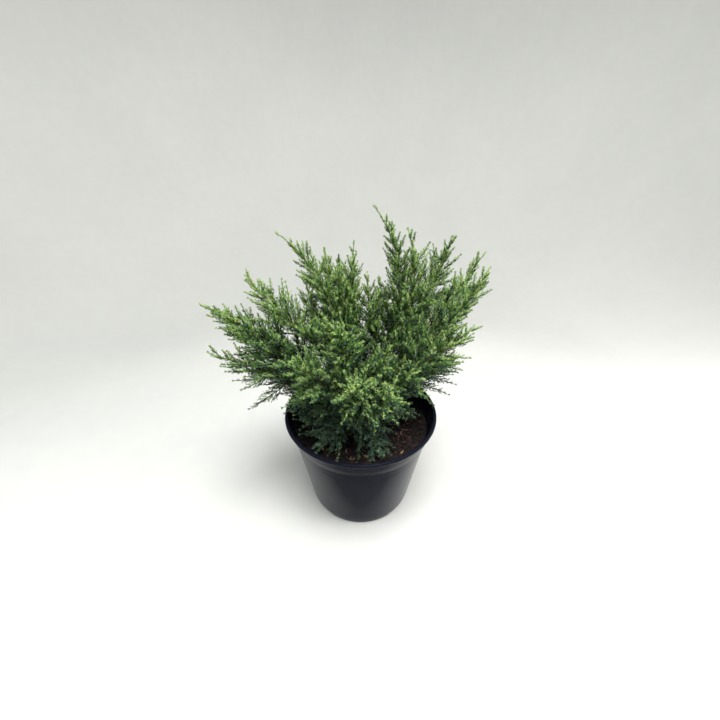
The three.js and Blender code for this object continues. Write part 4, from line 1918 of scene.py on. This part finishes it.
    def _youth_and_light(
        self,
        on_plume: np.ndarray,
        owner: np.ndarray,
        upward: np.ndarray,
        reach: np.ndarray,
        height: np.ndarray,
    ) -> np.ndarray:
        """How young the growth of each shoot is.

        Args:
            How young the growth of each shoot is, with painted shade on shoots that point down and on those
            that stand low.
            owner: its plume.
            upward: how far it points up from its stalk, from -1 to 1.
            reach: its length.
            height: how high it stands over the compost.

        Returns:
            Numbers around 0 for old growth in painted shade and around 1 for young growth in painted light.
        """
        age = self.age
        # Painted shade low over the compost; growth high up is a little darker too.
        luck = self.rng.normal(0, age.luck, len(owner)) - age.low_painted_shade * (1 - smoothstep(height, *age.low))
        luck = luck - age.top_drop * smoothstep(height, *age.top)
        youth_and_light = age.by_place * on_plume + age.by_glow * self.glow[owner] + age.lit_by_upward * upward
        return youth_and_light + age.by_length * reach + luck + age.base

    def side_shoots(self, parents: Shoots) -> Shoots:
        """The side shoots of longer shoots, on alternate sides of each.

        Args:
            parents: the shoots that they stand on.

        Returns:
            The side shoots.
        """
        fine, rng = self.fine, self.rng
        counts = np.where(parents.length > fine.side_from, np.floor(parents.length / fine.side_every), 0)
        counts = counts.astype(int)
        which = np.repeat(np.arange(len(counts)), counts)
        step = np.arange(len(which)) - np.repeat(np.cumsum(counts) - counts, counts)
        first, spread = fine.side_at
        early, luck = fine.side_at_luck
        along = first + spread * (step + early + luck * rng.random(len(which))) / counts[which]
        turn = parents.phase[which] + step * math.pi * fine.side_turn
        turn = turn + rng.normal(0, fine.side_turn_luck, len(which))
        tangent, out = parents.arcs.tangent(which, along), parents.arcs.out(which, along, turn)
        root = parents.arcs.point(which, along)
        angle = fine.side_angle * ranged(fine.side_angle_luck, rng.random(len(which)))[:, None]
        way = unit(tangent * np.cos(angle) + out * np.sin(angle) + UP * fine.side_rise)
        reach = np.clip(parents.length[which] * ranged(fine.side_length, along), *fine.side_limits)
        reach = reach * ranged(fine.side_length_luck, rng.random(len(which)))
        owner = parents.owner[which]
        reach = self._trim(root, way, reach, owner, fine.least_side)
        kept = reach > 0
        columns = (which, root, way, reach, tangent, owner, along)
        which, root, way, reach, tangent, owner, along = (column[kept] for column in columns)
        tip = root + unit(way + tangent * fine.side_sweep) * reach[:, None]
        pull = root + way * reach[:, None] * fine.pull_at
        youth_and_light = parents.youth_and_light[which] + self.age.side_by_place * along
        youth_and_light = youth_and_light + rng.normal(0, self.age.side_luck, len(which))
        phase = rng.random(len(which)) * FULL_TURN
        size, bare = np.full(len(which), fine.side_leaf), np.full(len(which), fine.side_bare)
        return Shoots(Arcs(root, pull, tip), owner, reach, youth_and_light, size, bare, phase)

    def stalk_shoots(self) -> Shoots:
        """The leafy ends of the stems and twigs themselves.

        Returns:
            The shoots.
        """
        stalks, fine, age = self.stalks, self.fine, self.age
        twig, zero = stalks.is_twig == 1, np.zeros(len(stalks.owner))
        on_plume = np.where(twig, ranged(age.twig_end, stalks.on_plume), age.stem_end)
        youth_and_light = self._youth_and_light(on_plume, stalks.owner, zero, zero, stalks.arcs.tip[:, 2])
        leafy = np.where(twig, fine.twig_end[0], stalks.start + (1 - stalks.start) * fine.stem_end[0])
        size = np.where(twig, fine.twig_end[1], fine.stem_end[1])
        length = np.where(twig, stalks.length, stalks.length / (1 - stalks.start))
        return Shoots(stalks.arcs, stalks.owner, length, youth_and_light, size, leafy, stalks.turn)


LEAF_FACES = np.array([[0, 1, 2], [0, 2, 3]])
CORE_FACES = np.array([[0, 1, 3], [1, 2, 3], [2, 0, 3]])


@dataclass
class LeafMaker:
    """Turns shoots into leaves in opposite pairs and slim green cores."""

    seed: int = 77
    pair_every: float = 2.15
    least_pairs: int = 2
    last_pair: float = 0.97
    turn_luck: float = 0.25
    spread: float = math.radians(35)
    tip_spread: float = math.radians(8)
    spread_luck: float = 0.1
    size_luck: Span = (0.85, 0.3)
    smaller_at_tip: float = 0.5
    width_share: float = 0.46
    widest_at: float = 0.45
    keel: float = 0.12
    off_core: float = 0.12
    tip_youth: float = 0.06
    youth_luck: float = 0.035
    core_age: float = 0.08
    # Painted sunlight high up and painted shade low down: sunny tones and fewer glaucous leaves high, more
    # glaucous leaves low.
    sunny_heights: Span = (95.0, 185.0)
    sunny_share: float = 0.8
    glaucous_share: float = 0.34
    glaucous_in_shade: float = 0.3
    shade_heights: Span = (20.0, 80.0)
    glaucous_sunny: float = 0.14
    glaucous_up_to: float = 0.5
    brown_share: float = 0.015

    def __post_init__(self) -> None:
        """Starts the seeded numbers."""
        self.rng = np.random.default_rng(self.seed)

    def leaves(self, shoots: Shoots) -> tuple[np.ndarray, np.ndarray, np.ndarray]:
        """The leaves of many shoots.

        Args:
            shoots: the shoots.

        Returns:
            The leaves' points, four to a leaf, the tone of each leaf, and its plume.
        """
        rng = self.rng
        leafy = shoots.length * (1 - shoots.leafy_from)
        pairs = np.maximum(self.least_pairs, np.round(leafy / self.pair_every)).astype(int)
        counts = pairs * 2
        which = np.repeat(np.arange(len(counts)), counts)
        step = np.arange(len(which)) - np.repeat(np.cumsum(counts) - counts, counts)
        pair = step // 2
        ahead = (pair + 0.5) / pairs[which]
        along = shoots.leafy_from[which] + (1 - shoots.leafy_from[which]) * ahead * self.last_pair
        turn = shoots.phase[which] + (pair % 2) * math.pi / 2 + (step % 2) * math.pi
        turn = turn + rng.normal(0, self.turn_luck, len(which))
        point = shoots.arcs.point(which, along)
        tangent, out = shoots.arcs.tangent(which, along), shoots.arcs.out(which, along, turn)
        spread = self.spread + (self.tip_spread - self.spread) * ahead**3
        spread = spread + rng.normal(0, self.spread_luck, len(which))
        way = tangent * np.cos(spread)[:, None] + out * np.sin(spread)[:, None]
        face = out * np.cos(spread)[:, None] - tangent * np.sin(spread)[:, None]
        across = np.cross(way, face)
        size = shoots.leaf[which] * ranged(self.size_luck, rng.random(len(which)))
        size = (size * (1 - self.smaller_at_tip * ahead**2))[:, None]
        wide = size * self.width_share * 0.5
        base = point + out * self.off_core
        middle = base + way * size * self.widest_at - face * size * self.keel
        points = np.stack([base, middle + across * wide, base + way * size, middle - across * wide], axis=1)
        youth_and_light = shoots.youth_and_light[which] + self.tip_youth * ahead**2 + rng.normal(0, self.youth_luck, len(which))
        return points, self.tones(youth_and_light, shoots, which), shoots.owner[which]

    def tones(self, youth_and_light: np.ndarray, shoots: Shoots, which: np.ndarray) -> np.ndarray:
        """The tone of each leaf, dealt out by spray, with painted sunlight high up and painted shade low
        down.

        Args:
            youth_and_light: how young each leaf is, with painted light and shade.
            shoots: the shoots.
            which: the shoot of each leaf.

        Returns:
            The tones.
        """
        tones = np.digitize(youth_and_light, TONE_EDGES)
        luck = self.rng.random(len(shoots.length))[which]
        height = shoots.arcs.tip[which, 2]
        # Painted sunlight on high growth and painted shade on low growth.
        sun = smoothstep(height, *self.sunny_heights)
        low = 1 - smoothstep(height, *self.shade_heights)
        glaucous = self.glaucous_share + self.glaucous_in_shade * low - self.glaucous_sunny * sun
        old = shoots.youth_and_light[which] < self.glaucous_up_to
        tones = np.where((luck < glaucous) & old, Tone.GLAUCOUS, tones)
        sunny = luck > 1 - self.sunny_share * sun
        tones = np.where(sunny & (tones == Tone.MIDDLE), Tone.SUNNY_MIDDLE, tones)
        tones = np.where(sunny & (tones == Tone.GRASS), Tone.SUNNY_GRASS, tones)
        return np.where(luck > 1 - self.brown_share, Tone.BROWN, tones)

    def cores(self, shoots: Shoots, radius: float) -> tuple[np.ndarray, np.ndarray, np.ndarray]:
        """Slim three-sided cores of the shoots.

        Args:
            shoots: the shoots.
            radius: the radius at the foot.

        Returns:
            The points, four to a shoot, the tone of each core, and its plume.
        """
        count = len(shoots.length)
        every, start = np.arange(count), np.zeros(count)
        foot = shoots.arcs.point(every, start)
        sides = [shoots.arcs.out(every, start, np.full(count, side * FULL_TURN / 3)) for side in range(3)]
        points = np.stack([*(foot + out * radius for out in sides), shoots.arcs.tip], axis=1)
        return points, np.digitize(shoots.youth_and_light - self.core_age, TONE_EDGES), shoots.owner


@dataclass
class Juniper:
    """The whole plant: limbs with bark, thin twigs, and the foliage of each region."""

    skeleton: Skeleton
    core_radius: float = 0.5
    side_core_radius: float = 0.36
    twig: TwigSize = TwigSize()

    @property
    def ground(self) -> float:
        """The height of the plant's own origin over the pot's underside."""
        return self.skeleton.compost.top + self.skeleton.compost.clearance

    def build(
        self,
        bark_finish: bpy.types.Material,
        twig_finishes: Sequence[bpy.types.Material],
        leaf_finishes: Sequence[bpy.types.Material],
    ) -> None:
        """Makes every piece of the plant.

        Args:
            bark_finish: the material of stem and boughs.
            twig_finishes: the materials of twigs, for their woody and for their green part.
            leaf_finishes: the materials of the leaves, by tone.
        """
        self._build_limbs(bark_finish)
        stalks = Grower(self.skeleton).stalks()
        LOG.info("%d stems and twigs", len(stalks.owner))
        self._build_twigs(stalks, twig_finishes)
        sprays = Sprays(self.skeleton, stalks)
        shoots = sprays.on_stalks()
        side = sprays.side_shoots(shoots)
        LOG.info("%d shoots, %d side shoots", len(shoots.length), len(side.length))
        self._build_foliage(sprays.stalk_shoots(), shoots, side, leaf_finishes)

    def _build_limbs(self, finish: bpy.types.Material) -> None:
        """Makes the stem and the boughs, with bark relief.

        Args:
            finish: their material.
        """
        stem, bough = self.skeleton.stem, self.skeleton.bough
        skin = Skin("limbs")

        def stem_radius(along: np.ndarray) -> np.ndarray:
            """The stem's radius, with its flare."""
            straight = stem.base_radius + (stem.top_radius - stem.base_radius) * along
            return straight + stem.flare * np.exp(-along * stem.height / stem.flare_height)

        span = (stem.drawn_from, 1.0)
        self._add_limb(skin, self.skeleton.stem_arc, span, stem_radius, stem.sides, stem.steps, stem.relief)
        replaced = ["stem"]
        for plume in PLUMES:
            if not plume.share:
                continue
            replaced.append("bough_" + plume.name)
            steps = round(plume.length * plume.share / bough.step)

            def bough_radius(along: np.ndarray, plume: Plume = plume) -> np.ndarray:
                """The bough's radius."""
                return np.asarray(plume.bough_radius(bough, along))

            span = (0.0, plume.share)
            self._add_limb(skin, plume.arc, span, bough_radius, bough.sides, steps, bough.relief)
        finish_piece(skin.build([finish], self.ground), replaced)

    @staticmethod
    def _add_limb(
        skin: Skin,
        arc: Arcs,
        span: Span,
        radius_at: Callable[[np.ndarray], np.ndarray],
        sides: int,
        steps: int,
        relief: float,
        green_from: float = 1.0,
    ) -> None:
        """Adds a closed limb with ridges and flakes of bark.

        Args:
            skin: the mesh that it goes into.
            arc: its axis.
            span: the shares of the axis where it starts and ends.
            radius_at: its radius from 0 to 1 along it.
            sides: how many sides it has.
            steps: how many steps it has.
            relief: how deep the bark is.
            green_from: the share from where it wears the second finish.
        """
        local = np.repeat(np.linspace(0, 1, steps + 1), sides)
        turn = np.tile(turns(sides), steps + 1)
        along = span[0] + (span[1] - span[0]) * local
        which = np.zeros(len(along), dtype=int)
        middle = arc.point(which, along)
        out = arc.out(which, along, turn)
        surface = middle + out * radius_at(local)[:, None]
        bark_relief = BarkRelief()
        stands_out = np.array([bark_relief.at(point) for point in surface])
        surface = surface + out * (stands_out * relief)[:, None]
        green = np.repeat(np.arange(steps) / steps >= green_from, sides)
        skin.add_tube(surface.reshape(steps + 1, sides, 3), samples(arc, span), green.astype(np.int32))

    def _build_twigs(self, stalks: Stalks, finishes: Sequence[bpy.types.Material]) -> None:
        """Makes the bare parts of the plumes' stems and twigs.

        Args:
            stalks: the stems and twigs.
            finishes: the materials of their woody and of their green part.
        """
        skin, size = Skin("twigs"), self.twig
        for index in range(len(stalks.owner)):
            plume = PLUMES[int(stalks.owner[index])]
            one = slice(index, index + 1)
            arc = Arcs(stalks.arcs.root[one], stalks.arcs.pull[one], stalks.arcs.tip[one])
            length = float(stalks.length[index])
            if stalks.is_twig[index]:
                thick = size.end_radius + size.radius_by_length * length
                sides, pace, green_from = size.on_twig
            else:
                thick = float(plume.bough_radius(self.skeleton.bough, 1.0))
                if not plume.share:
                    thick = size.inner_stem_share * plume.width
                sides, pace, green_from = size.on_stem

            def radius_at(along: np.ndarray, thick: float = thick) -> np.ndarray:
                """The twig's radius."""
                return size.end_radius + (thick - size.end_radius) * (1 - along) ** size.taper

            span = (float(stalks.start[index]) * size.start, size.end)
            steps = max(size.least_steps, round(length / pace))
            self._add_limb(skin, arc, span, radius_at, sides, steps, size.relief, green_from)
        finish_piece(skin.build(finishes, self.ground))

    def _build_foliage(
        self, stalks: Shoots, shoots: Shoots, side: Shoots, finishes: Sequence[bpy.types.Material]
    ) -> None:
        """Makes the foliage of each region.

        Args:
            stalks: the leafy ends of stems and twigs.
            shoots: the shoots that stand on them.
            side: the side shoots.
            finishes: the leaves' materials, by tone.
        """
        maker = LeafMaker()
        groups = [(LEAF_FACES, *maker.leaves(group)) for group in (stalks, shoots, side)]
        for group, radius in ((shoots, self.core_radius), (side, self.side_core_radius)):
            groups.append((CORE_FACES, *maker.cores(group, radius)))
        names = [plume.name for plume in PLUMES]
        total = 0
        for region, members in REGIONS.items():
            wanted = [names.index(member) for member in members]
            skin = Skin("foliage_" + region)
            for faces, points, tones, owner in groups:
                mine = np.isin(owner, wanted)
                rows = repeated(faces, int(mine.sum()), points.shape[1])
                skin.add(points[mine], rows, np.repeat(tones[mine], len(faces)))
            total += skin.triangles()
            made = skin.build(finishes, self.ground)
            finish_piece(made, ["plume_" + member for member in members])
        LOG.info("all foliage has %d triangles", total)


# The studio


@dataclass(frozen=True)
class Lamp:
    """A soft square light: where it hangs, the length of its side, its power in watts and its colour."""

    name: str
    hung: tuple[float, float, float]
    size: float
    power: float
    colour: tuple[float, float, float]


LAMPS = (
    Lamp("overhead", (150, -250, 1500), 700, 30.0, (1.0, 0.99, 0.97)),
    Lamp("right", (1100, -200, 420), 600, 10.0, (1.0, 0.985, 0.96)),
    Lamp("left", (-950, -350, 700), 500, 4.0, (0.95, 0.98, 1.0)),
)


@dataclass
class Studio:
    """A pale floor that curves up all round, soft lights, and the camera."""

    floor_start: float = 300.0
    floor_radius: float = 900.0
    floor_drop: float = 0.2
    sweep: float = 700.0
    sweep_rings: int = 13
    wall: float = 1700.0
    sides: int = 96
    sky: tuple[float, ...] = (0.93, 0.96, 1.0, 1.0)
    sky_strength: float = 0.22
    aim_height: float = 220.0
    camera_place: tuple[float, float, float] = (-1.0, -326.0, 427.0)
    camera_pitch: float = 29.41
    focal: float = 13.5
    sensor: float = 36.0
    nearest: float = 10.0

    def build(self, finish: bpy.types.Material) -> None:
        """Makes the floor, the lights and the camera.

        Args:
            finish: the floor's material.
        """
        self._build_floor(finish)
        self._light_world()
        for lamp in LAMPS:
            self._add_light(lamp)
        self._place_camera()

    def _build_floor(self, finish: bpy.types.Material) -> None:
        """Makes the floor with its sweep.

        Args:
            finish: its material.
        """
        profile = [(self.floor_start, 0.0), (self.floor_radius, 0.0)]
        for angle in np.radians(np.linspace(0, 90, self.sweep_rings))[1:]:
            out, up = math.sin(angle), 1 - math.cos(angle)
            profile.append((self.floor_radius + self.sweep * out, self.sweep * up))
        profile.append((self.floor_radius + self.sweep, self.sweep + self.wall))
        skin = Skin("floor")
        skin.add_tube(revolve(*np.array(profile).T, self.sides), np.zeros((1, 3)), flip=True)
        skin.build([finish], -self.floor_drop)
        LOG.info("floor is in place")

    def _light_world(self) -> None:
        """Lights the scene evenly from all sides."""
        world = bpy.data.worlds.new("soft_sky")
        world.use_nodes = True
        background = world.node_tree.nodes["Background"]
        Graph(world.node_tree).feed(background, Color=self.sky, Strength=self.sky_strength)
        bpy.context.scene.world = world

    def _add_light(self, lamp: Lamp) -> None:
        """Adds a light that looks at the plant.

        Args:
            lamp: the light.
        """
        data = bpy.data.lights.new(lamp.name, "AREA")
        data.shape = "SQUARE"
        data.size = lamp.size * METRE
        data.energy = lamp.power
        data.color = lamp.colour
        made = bpy.data.objects.new(lamp.name, data)
        made.location = Vector(lamp.hung) * METRE
        aim = Vector((0.0, 0.0, self.aim_height * METRE)) - made.location
        made.rotation_euler = aim.to_track_quat("-Z", "Y").to_euler()
        bpy.context.scene.collection.objects.link(made)

    def _place_camera(self) -> None:
        """Puts the camera where the photograph was taken from."""
        data = bpy.data.cameras.new("camera")
        data.lens = self.focal
        data.sensor_width = self.sensor
        data.clip_start = self.nearest * METRE
        made = bpy.data.objects.new("camera", data)
        made.location = Vector(self.camera_place) * METRE
        made.rotation_euler = (math.radians(90 - self.camera_pitch), 0.0, 0.0)
        bpy.context.scene.collection.objects.link(made)
        bpy.context.scene.camera = made


def main() -> None:
    """Builds the potted juniper and its studio."""
    logging.basicConfig(level=logging.INFO, format="%(name)s: %(message)s", stream=sys.stdout)
    scene = bpy.context.scene
    scene.view_settings.view_transform = "Standard"
    scene.view_settings.look = "None"
    effects = Effects()
    Studio().build(FLOOR_FINISH.make(effects))
    pot = NurseryPot()
    pot.build(PlasticFinish().make(effects))
    compost = Compost(pot)
    compost.build({name: finish.make(effects) for name, finish in COMPOST_FINISHES.items()})
    Juniper(Skeleton(pot, compost)).build(
        BARK_FINISH.make(effects),
        [finish.make(effects) for finish in TWIG_FINISHES],
        [leaf(tone).make(effects) for tone in Tone],
    )


if __name__ == "__main__":
    main()
